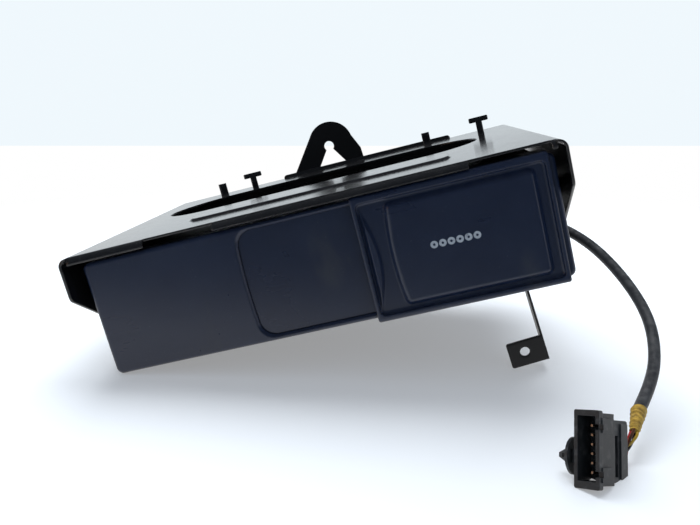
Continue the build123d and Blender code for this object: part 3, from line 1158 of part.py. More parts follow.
def harness_wires():
    """Four thin wires from the tape into the connector's back."""
    rear = PLUG.from_local_coords(Vector(PLUG_W / 2, PLUG_LEN, 12.0))
    behind = PLUG.from_local_coords(Vector(PLUG_W / 2, PLUG_LEN + 5.0, 12.0))
    frame = Plane(origin=TAPE_END, z_dir=Vector(*TAPE_END) - Vector(*ROUTE[-1]))
    wires = []
    for k in range(4):
        side = -0.9 if k % 2 else 0.9
        up = -0.9 if k < 2 else 0.9
        first = frame.from_local_coords(Vector(side, up, 0.6 * WIRE_R))
        shift = PLUG.from_local_coords(Vector(side * 1.6, 0, up * 2.6)) - PLUG.origin
        mid = behind + shift
        last = rear + shift
        wires.append(tube([tuple(first), tuple(mid), tuple(last)], WIRE_R))
    return wires


def connector_shell():
    """Open-mouthed socket: rim, keyways and stepped back."""
    body = block(0.6, PLUG_W - 0.6, 0, PLUG_MOUTH, 1.6, PLUG_H - 1.0)
    rim = block(0, PLUG_W, 0, 3.0, 0, PLUG_H)
    rim = fillet(rim.edges().filter_by(Axis.Y), 0.8)
    ribs = block(PLUG_W - 1.0, PLUG_W + 0.5, 2.0, PLUG_MOUTH - 3, 3, 9)
    ribs += block(PLUG_W - 1.0, PLUG_W + 0.5, 2.0, PLUG_MOUTH - 3, PLUG_H - 9, PLUG_H - 3)
    shell = body + rim + ribs
    shell -= block(PLUG_WALL + 0.4, PLUG_W - PLUG_WALL - 0.4, -1, PLUG_MOUTH - 2, 3.0, PLUG_H - 2.4)
    for z in (5.0, PLUG_H - 8.0):
        shell -= block(PLUG_W - 2.4, PLUG_W + 1, -1, 2.6, z, z + 2.4)
    lug = block(-2.4, 0.8, 2.6, 7.4, 9.6, 15.4)
    return PLUG * (shell + lug)


def connector_back():
    """Rear cap with the slotted lock and the wire outlet."""
    cap = block(1.0, PLUG_W - 1.0, PLUG_MOUTH, PLUG_LEN, 2.4, 28.4)
    cap = fillet(cap.edges().filter_by(Axis.Y), 1.0)
    cap -= block(PLUG_W - 2.2, PLUG_W, PLUG_MOUTH + 1.6, PLUG_MOUTH + 4.0, 5.0, 22.0)
    cap += block(PLUG_W - 1.4, PLUG_W - 0.2, PLUG_MOUTH + 5.5, PLUG_LEN - 1.2, 4.0, 27.0)
    return PLUG * cap


def connector_pins():
    """One row of square pins standing in the socket."""
    pins = []
    for k in range(6):
        z = 6.0 + k * 3.8
        pins.append(PLUG * block(PLUG_W / 2 - 0.5, PLUG_W / 2 + 0.5, 4.5, PLUG_MOUTH - 2, z, z + 1.0))
    return pins


def connector_clip():
    """Push-in panel clip: an oval washer and an arrow head with a window."""
    seat = Plane(origin=(-2.4, 5.0, 12.5), x_dir=(0, 1, 0), z_dir=(-1, 0, 0))
    washer = extrude(seat * Ellipse(6.4, 7.8), 1.2)
    stem = extrude(seat * Rectangle(3.0, 4.6), 3.6)
    head = loft([Plane(origin=(-5.4, 5.0, 12.5), x_dir=(0, 1, 0), z_dir=(-1, 0, 0)) * Rectangle(4.4, 5.6),
                 Plane(origin=(-9.6, 5.0, 12.5), x_dir=(0, 1, 0), z_dir=(-1, 0, 0)) * Rectangle(1.6, 1.8)])
    clip = washer + stem + head
    return PLUG * (clip - block(-7.6, -5.0, 0, 10, 11.6, 13.4))


# ---------------------------------------------------------------- the assembly
PIECES = {
    "case_tray": case_tray, "case_cover": case_cover, "cover_screws": cover_screws,
    "fascia": fascia, "sliding_door": sliding_door, "shutter": shutter,
    "inner_bezel": inner_bezel, "eject_button": eject_button, "eject_switch": eject_switch,
    "magazine_shell": magazine_shell, "magazine_cradle": magazine_cradle,
    "deck_frame": deck_frame, "lift_posts": lift_posts, "spindle_motor": spindle_motor,
    "turntable": turntable, "guide_rods": guide_rods, "pickup_sled": pickup_sled,
    "pickup_lens": pickup_lens, "sled_screw": sled_screw, "sled_motor": sled_motor,
    "sled_bearing": sled_bearing, "clamp_arm": clamp_arm, "clamper": clamper, "arm_pin": arm_pin,
    "draw_rail": draw_rail, "draw_slider": draw_slider, "cam_plate_left": cam_plate_left,
    "cam_plate_rear": cam_plate_rear, "lift_pinion": lift_pinion, "lift_gearmotor": lift_gearmotor,
    "main_board": main_board, "board_stand_offs": board_stand_offs, "board_parts": board_parts,
    "mounting_bracket": mounting_bracket, "hook_plate": hook_plate, "hook_rivets": hook_rivets,
    "rubber_bushes": rubber_bushes, "bush_screws": bush_screws, "leg_bracket": leg_bracket,
    "leg_screws": leg_screws, "cable_boot": cable_boot, "cable_sheath": cable_sheath,
    "cable_tape": cable_tape, "harness_wires": harness_wires, "connector_shell": connector_shell,
    "connector_back": connector_back, "connector_pins": connector_pins, "connector_clip": connector_clip,
}
for number in range(TRAYS):
    PIECES[f"disc_tray_{number + 1}"] = lambda number=number: tray_plate(number)


def main():
    """Write one STEP file for each piece and print the harness's facts."""
    os.makedirs("parts", exist_ok=True)
    for name, make in PIECES.items():
        shape = make()
        solids = shape if isinstance(shape, list) else [shape]
        solids = [solid for item in solids for solid in item.solids()]
        export_step(Compound(children=solids), f"parts/{name}.step")
    path = FilletPolyline(*ROUTE, radius=corner_radii(ROUTE))
    print("cable radii", [round(r, 1) for r in corner_radii(ROUTE)])
    print("cable length", round(path.length, 1), "volume by length",
          round(path.length * math.pi * CABLE_R ** 2), "solid", round(cable_sheath().volume))


main()
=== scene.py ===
# %% [markdown]
# # A car disc changer in its steel bracket
# The changer is a flat steel box with a moulded front. Its front has two sliding
# parts: an outer door that the hand moves and an inner shutter that follows it.
# The box hangs from rubber bushes in a wide bracket pressed from one sheet, and a
# short harness leaves its right side. The solids come from CAD, already in place,
# so this file gives them their finishes, and models again what is soft: the
# flexible cable, the wound tape and the wires. It also adds the two small folds
# that close the bracket's rear corners.

import bpy
import math
from mathutils import Matrix, Vector


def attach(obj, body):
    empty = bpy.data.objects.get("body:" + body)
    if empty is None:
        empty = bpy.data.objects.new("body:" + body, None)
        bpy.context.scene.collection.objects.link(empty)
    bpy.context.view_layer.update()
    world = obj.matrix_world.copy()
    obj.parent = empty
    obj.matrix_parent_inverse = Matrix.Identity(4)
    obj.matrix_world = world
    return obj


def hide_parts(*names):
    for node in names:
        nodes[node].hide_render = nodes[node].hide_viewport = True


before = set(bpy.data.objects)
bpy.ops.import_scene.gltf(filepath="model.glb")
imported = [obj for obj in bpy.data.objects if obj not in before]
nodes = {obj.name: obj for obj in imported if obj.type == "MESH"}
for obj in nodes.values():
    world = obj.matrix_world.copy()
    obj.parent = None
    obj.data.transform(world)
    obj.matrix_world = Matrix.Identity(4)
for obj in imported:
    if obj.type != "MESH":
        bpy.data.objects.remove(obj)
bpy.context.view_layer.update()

# %% [markdown]
# ## The camera
# The photograph was taken from the front, a little above the table, and slightly
# to the right. The lens looks along one direction and has its own idea of up, so
# the camera's turn is written as the three directions of its own axes. Guessing
# angles by hand also works, but three directions can be checked one by one.

# %% Camera
CAMERA_PLACE = Vector((0.06661, -0.46534, 0.10802))
CAMERA_RIGHT = Vector((0.9662, 0.0823, -0.2443)).normalized()
CAMERA_AHEAD = Vector((-0.1331, 0.9709, -0.1992)).normalized()
CAMERA_UP = CAMERA_RIGHT.cross(CAMERA_AHEAD).normalized()
LENS_MM = 36.0
SENSOR_MM = 36.0

turn = Matrix((CAMERA_RIGHT, CAMERA_UP, -CAMERA_AHEAD)).transposed().to_4x4()
lens = bpy.data.cameras.new("photo_lens")
lens.lens = LENS_MM
lens.sensor_width = SENSOR_MM
camera = bpy.data.objects.new("photo_camera", lens)
camera.matrix_world = Matrix.Translation(CAMERA_PLACE) @ turn
bpy.context.scene.collection.objects.link(camera)
bpy.context.scene.camera = camera
print("camera at", tuple(round(v, 3) for v in CAMERA_PLACE))

# %% [markdown]
# ## The cable's line
# A sheathed cable bends, but never kinks. A NURBS spline of order three passes
# near its control points and stays smooth between them, so a few points give a
# natural line. A polyline with rounded corners would look like bent wire. The
# points follow the cable from the boot on the case's side to the tape.

# %% Cable
MM_IN_METRE = 1000
CABLE_POINTS = [(138.0, -13.0, 10.5), (145.5, -34.0, 6.7), (155.5, -52.0, -4.3),
                (162.5, -75.0, -19.3), (164.5, -97.0, -33.3), (158.5, -120.0, -44.3),
                (148.5, -139.0, -51.3), (137.6, -155.2, -53.9)]
TAPE_END = (131.0, -168.5, -56.8)
CABLE_RADIUS = 0.0030
SPLINE_ORDER = 3
STEPS_ALONG = 16        # faces between two control points
STEPS_ROUND = 6         # how fine the cord's round section is


def smooth_line(name, points, radius):
    """A round cord along points given in millimetres."""
    curve = bpy.data.curves.new(name, "CURVE")
    curve.dimensions = "3D"
    spline = curve.splines.new("NURBS")
    spline.points.add(len(points) - 1)
    for knot, place in zip(spline.points, points):
        knot.co = (*(v / MM_IN_METRE for v in place), 1.0)
    spline.order_u = SPLINE_ORDER
    spline.use_endpoint_u = True
    spline.resolution_u = STEPS_ALONG
    curve.bevel_depth = radius
    curve.bevel_resolution = STEPS_ROUND
    curve.use_fill_caps = True
    cord = bpy.data.objects.new(name, curve)
    bpy.context.scene.collection.objects.link(cord)
    return cord


cable = smooth_line("cable", CABLE_POINTS, CABLE_RADIUS)
print("cable points", len(CABLE_POINTS))

# %% [markdown]
# ## A short way to write shader maths
# A finish is a sum of masks and noises. Wiring each Math node by hand hides the
# idea, so a small class wraps a socket and lets Python's own + - * and ** do the
# wiring. One more method adds any other node, with its settings given first.

# %% Shader values
MIX_SOCKETS = (0, 6, 7)     # a colour Mix node's factor and its two colours
MIX_RESULT = 2


class Value:
    """A number that comes out of a node, ready for sums."""

    def __init__(self, finish, socket):
        self.finish = finish
        self.socket = socket

    def sum_with(self, kind, other, swapped=False):
        pair = (other, self) if swapped else (self, other)
        return self.finish.node("ShaderNodeMath", {"operation": kind},
                                {0: pair[0], 1: pair[1]})

    def __add__(self, other):
        return self.sum_with("ADD", other)

    def __radd__(self, other):
        return self.sum_with("ADD", other, True)

    def __sub__(self, other):
        return self.sum_with("SUBTRACT", other)

    def __rsub__(self, other):
        return self.sum_with("SUBTRACT", other, True)

    def __mul__(self, other):
        return self.sum_with("MULTIPLY", other)

    def __rmul__(self, other):
        return self.sum_with("MULTIPLY", other, True)

    def __pow__(self, other):
        return self.sum_with("POWER", other)


def colour_mix(tree, *given):
    """The mix of two colours by a factor, each of them a socket or fixed."""
    made = tree.nodes.new("ShaderNodeMix")
    made.data_type = "RGBA"
    for number, what in zip(MIX_SOCKETS, given):
        if isinstance(what, bpy.types.NodeSocket):
            tree.links.new(what, made.inputs[number])
        elif number == MIX_SOCKETS[0]:
            made.inputs[number].default_value = what
        else:
            made.inputs[number].default_value = (*what, 1.0)
    return made.outputs[MIX_RESULT]


print("a colour mix uses sockets", MIX_SOCKETS)

# %% [markdown]
# ## What every finish can ask for
# A real surface isn't one colour. It has grain, patches, dust on whatever looks
# upward, wear on its edges, and grime with painted shade in its corners. Painted
# image maps could hold all that, but they need seams and files. Here each effect
# is a mask worked out from the point's place and its normal, so it fits any solid at once.

# %% Finish
BEVEL_SAMPLES = 6
SHADE_SAMPLES = 8
SHARP = (0.02, 0.25)        # how far the rounded normal leaves the true one
SHADED = (0.25, 0.75)       # share of open sky, from a groove to open ground


class Finish:
    """One material, built on the Principled shader."""

    def __init__(self, name):
        self.material = bpy.data.materials.new(name)
        self.material.use_nodes = True
        self.tree = self.material.node_tree
        self.shader = self.tree.nodes["Principled BSDF"]
        self.place = self.node("ShaderNodeTexCoord", {}, {}, "Object")

    def node(self, kind, settings, inputs, output=0):
        made = self.tree.nodes.new(kind)
        for key, setting in settings.items():
            setattr(made, key, setting)
        for key, given in inputs.items():
            if isinstance(given, Value):
                self.tree.links.new(given.socket, made.inputs[key])
            else:
                made.inputs[key].default_value = given
        return Value(self, made.outputs[output])

    def noise(self, scale, detail=4.0, stretch=(1, 1, 1)):
        """Soft noise about 0.5, in patches of about 1/scale metres."""
        place = self.node("ShaderNodeMapping", {}, {"Vector": self.place, "Scale": stretch})
        return self.node("ShaderNodeTexNoise", {},
                         {"Vector": place, "Scale": scale, "Detail": detail}, "Fac")

    def step(self, value, low, high):
        """0 below low, 1 above high, smooth between."""
        return self.node("ShaderNodeMapRange", {"interpolation_type": "SMOOTHSTEP"},
                         {"Value": value, "From Min": low, "From Max": high})

    def blend(self, *given):
        """A colour between two colours, by a factor that comes first."""
        plain = [what.socket if isinstance(what, Value) else what for what in given]
        return Value(self, colour_mix(self.tree, *plain))

    def along(self, vector, direction):
        """How far a vector reaches along a direction."""
        return self.node("ShaderNodeVectorMath", {"operation": "DOT_PRODUCT"},
                         {0: vector, 1: direction}, "Value")

    def facing(self, direction):
        """How far the surface looks along a direction, from -1 to 1."""
        return self.along(self.node("ShaderNodeNewGeometry", {}, {}, "Normal"), direction)

    def rounded(self, radius):
        """The normal that the surface would have with softened edges."""
        return self.node("ShaderNodeBevel", {"samples": BEVEL_SAMPLES},
                         {"Radius": radius}, "Normal")

    def edges(self, radius):
        """1 on sharp edges and 0 on flats, from the rounded normal."""
        soft = self.rounded(radius)
        normal = self.node("ShaderNodeNewGeometry", {}, {}, "Normal")
        return self.step(1.0 - self.along(soft, normal), *SHARP)

    def hollows(self, distance):
        """1 deep in grooves and corners, 0 in the open."""
        open_share = self.node("ShaderNodeAmbientOcclusion", {"samples": SHADE_SAMPLES},
                               {"Distance": distance}, "AO")
        return 1.0 - self.step(open_share, *SHADED)

    def relief(self, height, depth, round_edges=0.0):
        """Bumps of a real depth in metres, over softly rounded edges."""
        inputs = {"Height": height, "Distance": depth, "Strength": 1.0}
        if round_edges:
            inputs["Normal"] = self.rounded(round_edges)
        return self.node("ShaderNodeBump", {}, inputs, "Normal")

    def set(self, **given):
        """Sets sockets of the shader: numbers stay numbers, values are linked."""
        for key, what in given.items():
            socket = self.shader.inputs[key.replace("_", " ")]
            if isinstance(what, Value):
                self.tree.links.new(what.socket, socket)
            elif key == "Base_Color":
                socket.default_value = (*what, 1.0)
            else:
                socket.default_value = what
        return self.material


def dress(material, *names):
    """Puts a material on CAD solids, in place of what they came with."""
    for name in names:
        slots = nodes[name].data.materials
        slots.clear()
        slots.append(material)
    print(material.name, "on", len(names), "solids")


def scaled(tone, share):
    """The same hue, darker or lighter."""
    return [c * share for c in tone]


TABLE_UP = Vector((0.2453, 0.0, 0.9694)).normalized()
print("dust falls along", tuple(round(-v, 2) for v in TABLE_UP))

# %% [markdown]
# ## Satin front moulding
# The front, its door and its shutter are one dark, slightly blue plastic. It is
# neither glossy nor flat: broad soft reflections show, broken by a fine spark
# grain from the mould. Years of use leave dull patches, faint smears, specks and
# dust on whatever looks upward. Each of these is one mask, because one mask can
# be judged and changed without the rest. Painted shade, with a little grime,
# darkens the groove round the shutter and the door's hollows. The door's print is
# a plain row of six little discs.

# %% Door print
SIGN_START = 0.0625         # middle of the first of six little discs
SIGN_HEIGHT = 0.0325
SIGN_PITCH = 0.0046
SIGN_COUNT = 6
DISC_HOLE = (0.00062, 0.00074)      # both edges fade over a tenth of a millimetre
DISC_RIM = (0.00195, 0.00207)
PRINT_FADE = 0.0001
TO_THE_FRONT = (0.0, -1.0, 0.0)


def disc_row(f):
    """A printed row of six little discs: 1 on the print, 0 beside it."""
    across = f.along(f.place, (1.0, 0.0, 0.0)) - SIGN_START
    rise = f.along(f.place, (0.0, 0.0, 1.0)) - SIGN_HEIGHT
    half = SIGN_PITCH / 2
    local = f.node("ShaderNodeMath", {"operation": "WRAP"}, {0: across, 1: half, 2: -half})
    away = (local * local + rise * rise) ** 0.5
    ring = f.step(away, *DISC_HOLE) * (1.0 - f.step(away, *DISC_RIM))
    last = (SIGN_COUNT - 0.5) * SIGN_PITCH
    begun = f.step(across, -half, -half + PRINT_FADE)
    ended = f.step(across, last - PRINT_FADE, last)
    return ring * (begun * (1.0 - ended)) * f.step(f.facing(TO_THE_FRONT), 0.8, 0.9)


print("print is", round(SIGN_COUNT * SIGN_PITCH * MM_IN_METRE, 1), "mm wide")

# %% Front plastic
GROOVE_REACH = 0.0028       # how far the painted shade spreads from a groove's bottom
DOOR_REACH = 0.0007


def front_plastic(name, groove_shade_reach, printed=False):
    """Dark blue satin plastic with mould grain, smears, specks and dust."""
    f = Finish(name)
    patches = f.noise(22.0, 5.0)
    streaks = f.noise(60.0, 3.0, (0.35, 1.0, 2.2))
    grain = f.noise(5200.0, 1.0)
    dust = f.step(f.facing(TABLE_UP), 0.55, 1.0) * f.step(f.noise(240.0, 5.0), 0.35, 0.75)
    specks = f.step(f.noise(900.0, 2.0), 0.70, 0.78)
    smears = f.step(f.noise(34.0, 6.0, (1.0, 1.0, 0.45)), 0.60, 0.76)
    corners = f.hollows(groove_shade_reach)
    dark, light = (0.0085, 0.0150, 0.0380), (0.0120, 0.0200, 0.0460)
    rubbed, greasy, grey = (0.040, 0.046, 0.060), (0.14, 0.13, 0.075), (0.20, 0.20, 0.20)
    darkening, ink = (0.001, 0.001, 0.0015), (0.42, 0.45, 0.48)
    base = f.blend(f.step(patches, 0.3, 0.75), dark, light)
    base = f.blend(f.edges(0.0006) * 0.25, base, rubbed)
    base = f.blend(smears * 0.10, base, greasy)
    base = f.blend(specks * 0.15 + dust * 0.12, base, grey)
    # Painted shade: grooves and hollows turn near black, with a little grime.
    base = f.blend(corners * 0.9, base, darkening)
    if printed:
        print_worn = f.step(f.noise(700.0, 4.0), 0.30, 0.42)
        base = f.blend(disc_row(f) * (0.55 + print_worn * 0.35), base, ink)
    rough = 0.24 + patches * 0.08 + f.step(streaks, 0.45, 0.8) * 0.06 + smears * 0.10
    rough = rough + dust * 0.2 + corners * 0.6
    normal = f.relief(grain * 0.6 + f.noise(1800.0, 2.0) * 0.4, 0.000012, 0.0012)
    return f.set(Base_Color=base, Roughness=rough, Normal=normal, IOR=1.5)


dress(front_plastic("front_plastic", GROOVE_REACH), "fascia", "shutter")
dress(front_plastic("door_plastic", DOOR_REACH, True), "sliding_door")

# %% [markdown]
# ## Black paint on pressed steel
# The bracket is stamped, then dipped in black paint. The paint pulls back a
# little from sharp edges, so a thin grey line of metal shows there, and the flat
# top is rubbed and dusty. Seen from low down it mirrors the bright room. The
# hanging eye and the leg wear a duller powder coat, which is the same finish
# with a rougher surface and a weaker mirror.

# %% Bracket paint
def bracket_paint(name, roughness, shine):
    """Black paint, worn at its edges, with a fine orange peel."""
    f = Finish(name)
    patches = f.noise(14.0, 6.0)
    peel = f.noise(900.0, 2.0)
    scratch = f.step(f.noise(90.0, 4.0, (8.0, 0.6, 1.0)), 0.66, 0.72)
    dust = f.step(f.facing(TABLE_UP), 0.5, 1.0) * f.step(f.noise(120.0, 6.0), 0.38, 0.7)
    worn = f.edges(0.0007) * f.step(f.noise(160.0, 5.0), 0.46, 0.62)
    dark, light = (0.0055, 0.0057, 0.0068), (0.0095, 0.0095, 0.0105)
    base = f.blend(f.step(patches, 0.3, 0.7), dark, light)
    base = f.blend(dust * 0.03, base, (0.25, 0.24, 0.23))
    base = f.blend(scratch * 0.06, base, (0.12, 0.12, 0.12))
    base = f.blend(worn * 0.7, base, (0.20, 0.19, 0.18))
    rough = roughness + f.noise(6.0, 1.0) * 0.05 + dust * 0.015 + scratch * 0.02
    normal = f.relief(peel, 0.000004, 0.0020)
    return f.set(Base_Color=base, Roughness=rough, Metallic=worn * 0.8, Normal=normal,
                 IOR=shine)


black_paint = bracket_paint("bracket_paint", 0.12, 1.6)
dress(black_paint, "mounting_bracket")
dress(bracket_paint("powder_paint", 0.42, 1.36), "hook_plate", "leg_bracket")

# %% [markdown]
# ## Corner returns of the bracket
# At each rear corner the flange is folded in behind the apron's end, so no light
# comes through the corner. Each return is a thin plate with softened edges. A
# cube at its size and a small bevel are enough, since only its face is seen.

# %% Corner returns
RETURN_SIZE = (0.0060, 0.0012, 0.0400)
RETURN_EDGES = {"left": -0.1404, "right": 0.1374}   # where each meets its flange
RETURN_BACK = 0.11135
RETURN_HEIGHT = 0.0495
RETURN_ROUNDING = 0.0005


def deselect_all():
    bpy.ops.object.select_all(action="DESELECT")


def settle(piece):
    """Bakes the object's place into its mesh."""
    deselect_all()
    piece.select_set(True)
    bpy.context.view_layer.objects.active = piece
    bpy.ops.object.transform_apply(location=True, rotation=True, scale=True)


for side, edge in RETURN_EDGES.items():
    inward = RETURN_SIZE[0] / 2 if side == "left" else -RETURN_SIZE[0] / 2
    deselect_all()
    bpy.ops.mesh.primitive_cube_add(size=1.0, scale=RETURN_SIZE,
                                    location=(edge + inward, RETURN_BACK, RETURN_HEIGHT))
    fold = bpy.context.active_object
    fold.name = "corner_return_" + side
    settle(fold)
    rounding = fold.modifiers.new("rounding", "BEVEL")
    rounding.width = RETURN_ROUNDING
    rounding.segments = 3
    bpy.ops.object.modifier_apply(modifier="rounding")
    fold.data.materials.append(black_paint)
    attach(fold, "chassis")
    print(fold.name, "faces", len(fold.data.polygons))

# %% [markdown]
# ## Sheet steel of the case
# The case is folded from sheet and painted a dull black that mirrors little. The
# frames inside are bare galvanised sheet. Rolled sheet keeps a faint grain in one
# direction, so the frames' noise is stretched along X.

# %% Case paint
def case_coat(name):
    """Dull black paint with a fine texture."""
    f = Finish(name)
    base = f.blend(f.noise(30.0, 5.0), (0.006, 0.006, 0.007), (0.012, 0.012, 0.013))
    rough = 0.55 + f.noise(300.0, 3.0) * 0.15
    normal = f.relief(f.noise(1500.0, 2.0), 0.00002, 0.0003)
    return f.set(Base_Color=base, Roughness=rough, Specular_IOR_Level=0.25, Normal=normal)


dress(case_coat("case_paint"), "case_tray", "case_cover")


# %% Galvanised sheet
def rolled_steel(name, tone):
    """Half-metallic sheet with a grain along X and soft stains."""
    f = Finish(name)
    grain = f.noise(420.0, 3.0, (0.06, 1.0, 1.0))
    stains = f.noise(18.0, 6.0)
    base = f.blend(f.step(stains, 0.35, 0.75), tone, scaled(tone, 1.7))
    base = f.blend(f.edges(0.0004) * 0.5, base, (0.3, 0.3, 0.3))
    rough = 0.34 + grain * 0.18 + stains * 0.1
    return f.set(Base_Color=base, Roughness=rough, Metallic=0.55,
                 Normal=f.relief(grain, 0.00002, 0.0003))


dress(rolled_steel("galvanised", (0.33, 0.34, 0.35)), "magazine_cradle", "deck_frame",
      "clamp_arm", "cam_plate_left", "cam_plate_rear", "draw_rail")

# %% [markdown]
# ## Ground steel, zinc and cans
# Posts, rods and the lead screw are ground bright. Screws are zinc plated or
# blackened. The motors wear drawn steel cans with a soft shine. They are all one
# finish with another tone and roughness, so one function makes them.

# %% Bright metals
def bright_metal(name, tone, roughness):
    """Metal with fine marks and faint stains."""
    f = Finish(name)
    marks = f.noise(1500.0, 2.0)
    stains = f.noise(60.0, 4.0)
    base = f.blend(stains, scaled(tone, 0.85), tone)
    rough = roughness + marks * 0.12 + stains * 0.06
    return f.set(Base_Color=base, Roughness=rough, Metallic=1.0,
                 Normal=f.relief(marks, 0.000008, 0.0002))


dress(bright_metal("ground_steel", (0.62, 0.62, 0.61), 0.14), "lift_posts", "guide_rods",
      "sled_screw", "arm_pin", "board_stand_offs")
dress(bright_metal("motor_can", (0.55, 0.55, 0.53), 0.26), "spindle_motor", "sled_motor")
dress(bright_metal("zinc_screw", (0.60, 0.58, 0.52), 0.28), "cover_screws")
dress(bright_metal("black_screw", (0.05, 0.05, 0.052), 0.35), "bush_screws", "hook_rivets",
      "leg_screws")
dress(bright_metal("tinned_brass", (0.34, 0.29, 0.25), 0.30), "connector_pins")

# %% [markdown]
# ## Plain plastics and rubber
# Most inner mouldings are one of a few plastics. They differ in colour, in how
# rough the mould was, and in how much dust they have caught.

# %% Plastics and rubber
TRAY_COUNT = 6


def moulding(name, tone, roughness, grain_depth=0.00003, dusty=0.15):
    """Moulded plastic or rubber: mould grain, pale edges and some dust."""
    f = Finish(name)
    patches = f.noise(45.0, 4.0)
    grain = f.noise(2600.0, 2.0)
    dust = f.step(f.noise(300.0, 5.0), 0.5, 0.8) * dusty
    pale = [min(1.0, c * 3 + 0.03) for c in tone]
    base = f.blend(f.step(patches, 0.3, 0.75), scaled(tone, 0.85), scaled(tone, 1.15))
    base = f.blend(f.edges(0.0004) * 0.3, base, pale)
    base = f.blend(dust, base, (0.3, 0.29, 0.28))
    rough = roughness + patches * 0.1 + dust * 0.3
    return f.set(Base_Color=base, Roughness=rough, Normal=f.relief(grain, grain_depth, 0.0003))


dress(moulding("black_moulding", (0.016, 0.016, 0.018), 0.42), "inner_bezel",
      "magazine_shell", "turntable", "pickup_sled")
dress(moulding("tray_grey", (0.06, 0.06, 0.065), 0.45), "eject_button",
      *["disc_tray_%d" % (k + 1) for k in range(TRAY_COUNT)])
dress(moulding("chip_black", (0.02, 0.02, 0.022), 0.5), "eject_switch", "lift_gearmotor",
      "board_parts")
dress(moulding("acetal", (0.72, 0.71, 0.66), 0.3, dusty=0.05), "sled_bearing", "clamper",
      "draw_slider", "lift_pinion")
dress(moulding("board_green", (0.012, 0.09, 0.035), 0.3), "main_board")
dress(moulding("bush_rubber", (0.02, 0.02, 0.02), 0.62, 0.00006, 0.35), "rubber_bushes",
      "cable_boot")
dress(moulding("plug_plastic", (0.022, 0.024, 0.026), 0.40, 0.00004, 0.25),
      "connector_shell", "connector_back", "connector_clip")

# %% [markdown]
# ## The pickup's lens
# A small coated lens: clear, with a cold violet tint from its coating. It is too
# small and too well hidden for more than the shader's own transmission.

# %% Lens glass
glass = Finish("lens_glass")
dress(glass.set(Base_Color=(0.75, 0.8, 0.95), Roughness=0.03, Transmission_Weight=0.9,
                IOR=1.5), "pickup_lens")

# %% [markdown]
# ## The cable's sheath
# The sheath is a soft dark grey rubber. It shows a slow, wavy relief where it
# lies over the twisted wires inside, dull patches, and light dust on its top.

# %% Sheath
def sheath_finish():
    f = Finish("cable_sheath_rubber")
    waves = f.noise(330.0, 2.0)
    grain = f.noise(3000.0, 2.0)
    dust = f.step(f.facing(TABLE_UP), 0.1, 1.0) * f.step(f.noise(260.0, 5.0), 0.35, 0.7)
    base = f.blend(f.noise(70.0, 4.0), (0.022, 0.023, 0.026), (0.04, 0.042, 0.046))
    base = f.blend(dust * 0.25, base, (0.22, 0.22, 0.22))
    normal = f.relief(waves * 0.8 + grain * 0.2, 0.00012)
    return f.set(Base_Color=base, Roughness=0.42 + grain * 0.15, Normal=normal)


cable.data.materials.append(sheath_finish())
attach(cable, "chassis")
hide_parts("cable_sheath")
print("sheath on", cable.name)

# %% [markdown]
# ## Wound tape
# Where the sheath ends, yellowed cloth tape is wound over it and over the start
# of the wires. Wound tape is not a smooth cone: each turn laps the last and makes
# a low step. A cylinder is cut into rings in edit mode, and then each corner gets
# the radius of the turn it lies on, so the steps climb like a screw thread.

# %% Tape
TAPE_FROM = Vector(CABLE_POINTS[-1]) / MM_IN_METRE
TAPE_TO = Vector(TAPE_END) / MM_IN_METRE
TAPE_TURNS = 7
TAPE_SIDES = 28
TAPE_RINGS = 6 * TAPE_TURNS
TAPE_RADIUS = 0.0035        # at its thick end, over the sheath
TAPE_TAPER = 0.0014
TAPE_STEP = 0.00035         # from one turn down to the next

along = TAPE_TO - TAPE_FROM
ahead = along.normalized()
deselect_all()
bpy.ops.mesh.primitive_cylinder_add(vertices=TAPE_SIDES, radius=1.0, depth=1.0)
tape = bpy.context.active_object
tape.name = "wound_tape"
bpy.ops.object.mode_set(mode="EDIT")
for cut in range(1, TAPE_RINGS):
    level = -0.5 + cut / TAPE_RINGS
    bpy.ops.mesh.select_all(action="SELECT")
    bpy.ops.mesh.bisect(plane_co=(0, 0, level), plane_no=(0, 0, 1))
bpy.ops.object.mode_set(mode="OBJECT")
for corner in tape.data.vertices:
    way = corner.co.z + 0.5
    turns = way * TAPE_TURNS + math.atan2(corner.co.y, corner.co.x) / (2 * math.pi)
    lap = (turns % 1.0) ** 2
    wobble = 0.00016 * math.sin(5 * turns + 2.1) + 0.0001 * math.sin(13.7 * turns)
    radius = TAPE_RADIUS - TAPE_TAPER * way ** 1.4 - TAPE_STEP * lap + wobble
    corner.co.x *= radius
    corner.co.y *= radius
    corner.co.z = way * along.length
tape.rotation_mode = "QUATERNION"
tape.rotation_quaternion = along.to_track_quat("Z", "Y")
tape.location = TAPE_FROM
settle(tape)
bpy.ops.object.shade_smooth_by_angle(angle=math.radians(50))
print("tape", round(along.length * MM_IN_METRE, 1), "mm long")


# %% Tape finish
def tape_finish():
    f = Finish("yellowed_tape")
    weave = f.noise(2400.0, 2.0)
    darkening = f.step(f.noise(220.0, 5.0), 0.42, 0.7)
    faded = f.step(f.noise(500.0, 3.0), 0.6, 0.8)
    base = f.blend(darkening, (0.52, 0.33, 0.055), (0.20, 0.12, 0.03))
    base = f.blend(faded * 0.5, base, (0.75, 0.60, 0.25))
    return f.set(Base_Color=base, Roughness=0.55 + weave * 0.2,
                 Normal=f.relief(weave, 0.0001))


tape.data.materials.append(tape_finish())
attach(tape, "chassis")
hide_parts("cable_tape")
print("tape faces", len(tape.data.polygons))

# %% [markdown]
# ## The loose wires
# Four thin wires leave the tape and fan into the connector's back. Each is its
# own spline, and each has its own colour, as in any harness. The connector lies
# askew on the table, so the wires' ends are given in its own three directions.

# %% Connector directions
PLUG_CORNER = Vector((97.0, -197.9, -60.4))
PLUG_UP = Vector((0.253, 0.428, 0.868)).normalized()
PLUG_LEANING = Vector((0.771, -0.631, 0.086))
PLUG_ACROSS = (PLUG_LEANING - PLUG_UP * PLUG_LEANING.dot(PLUG_UP)).normalized()
PLUG_BACK = PLUG_UP.cross(PLUG_ACROSS).normalized()


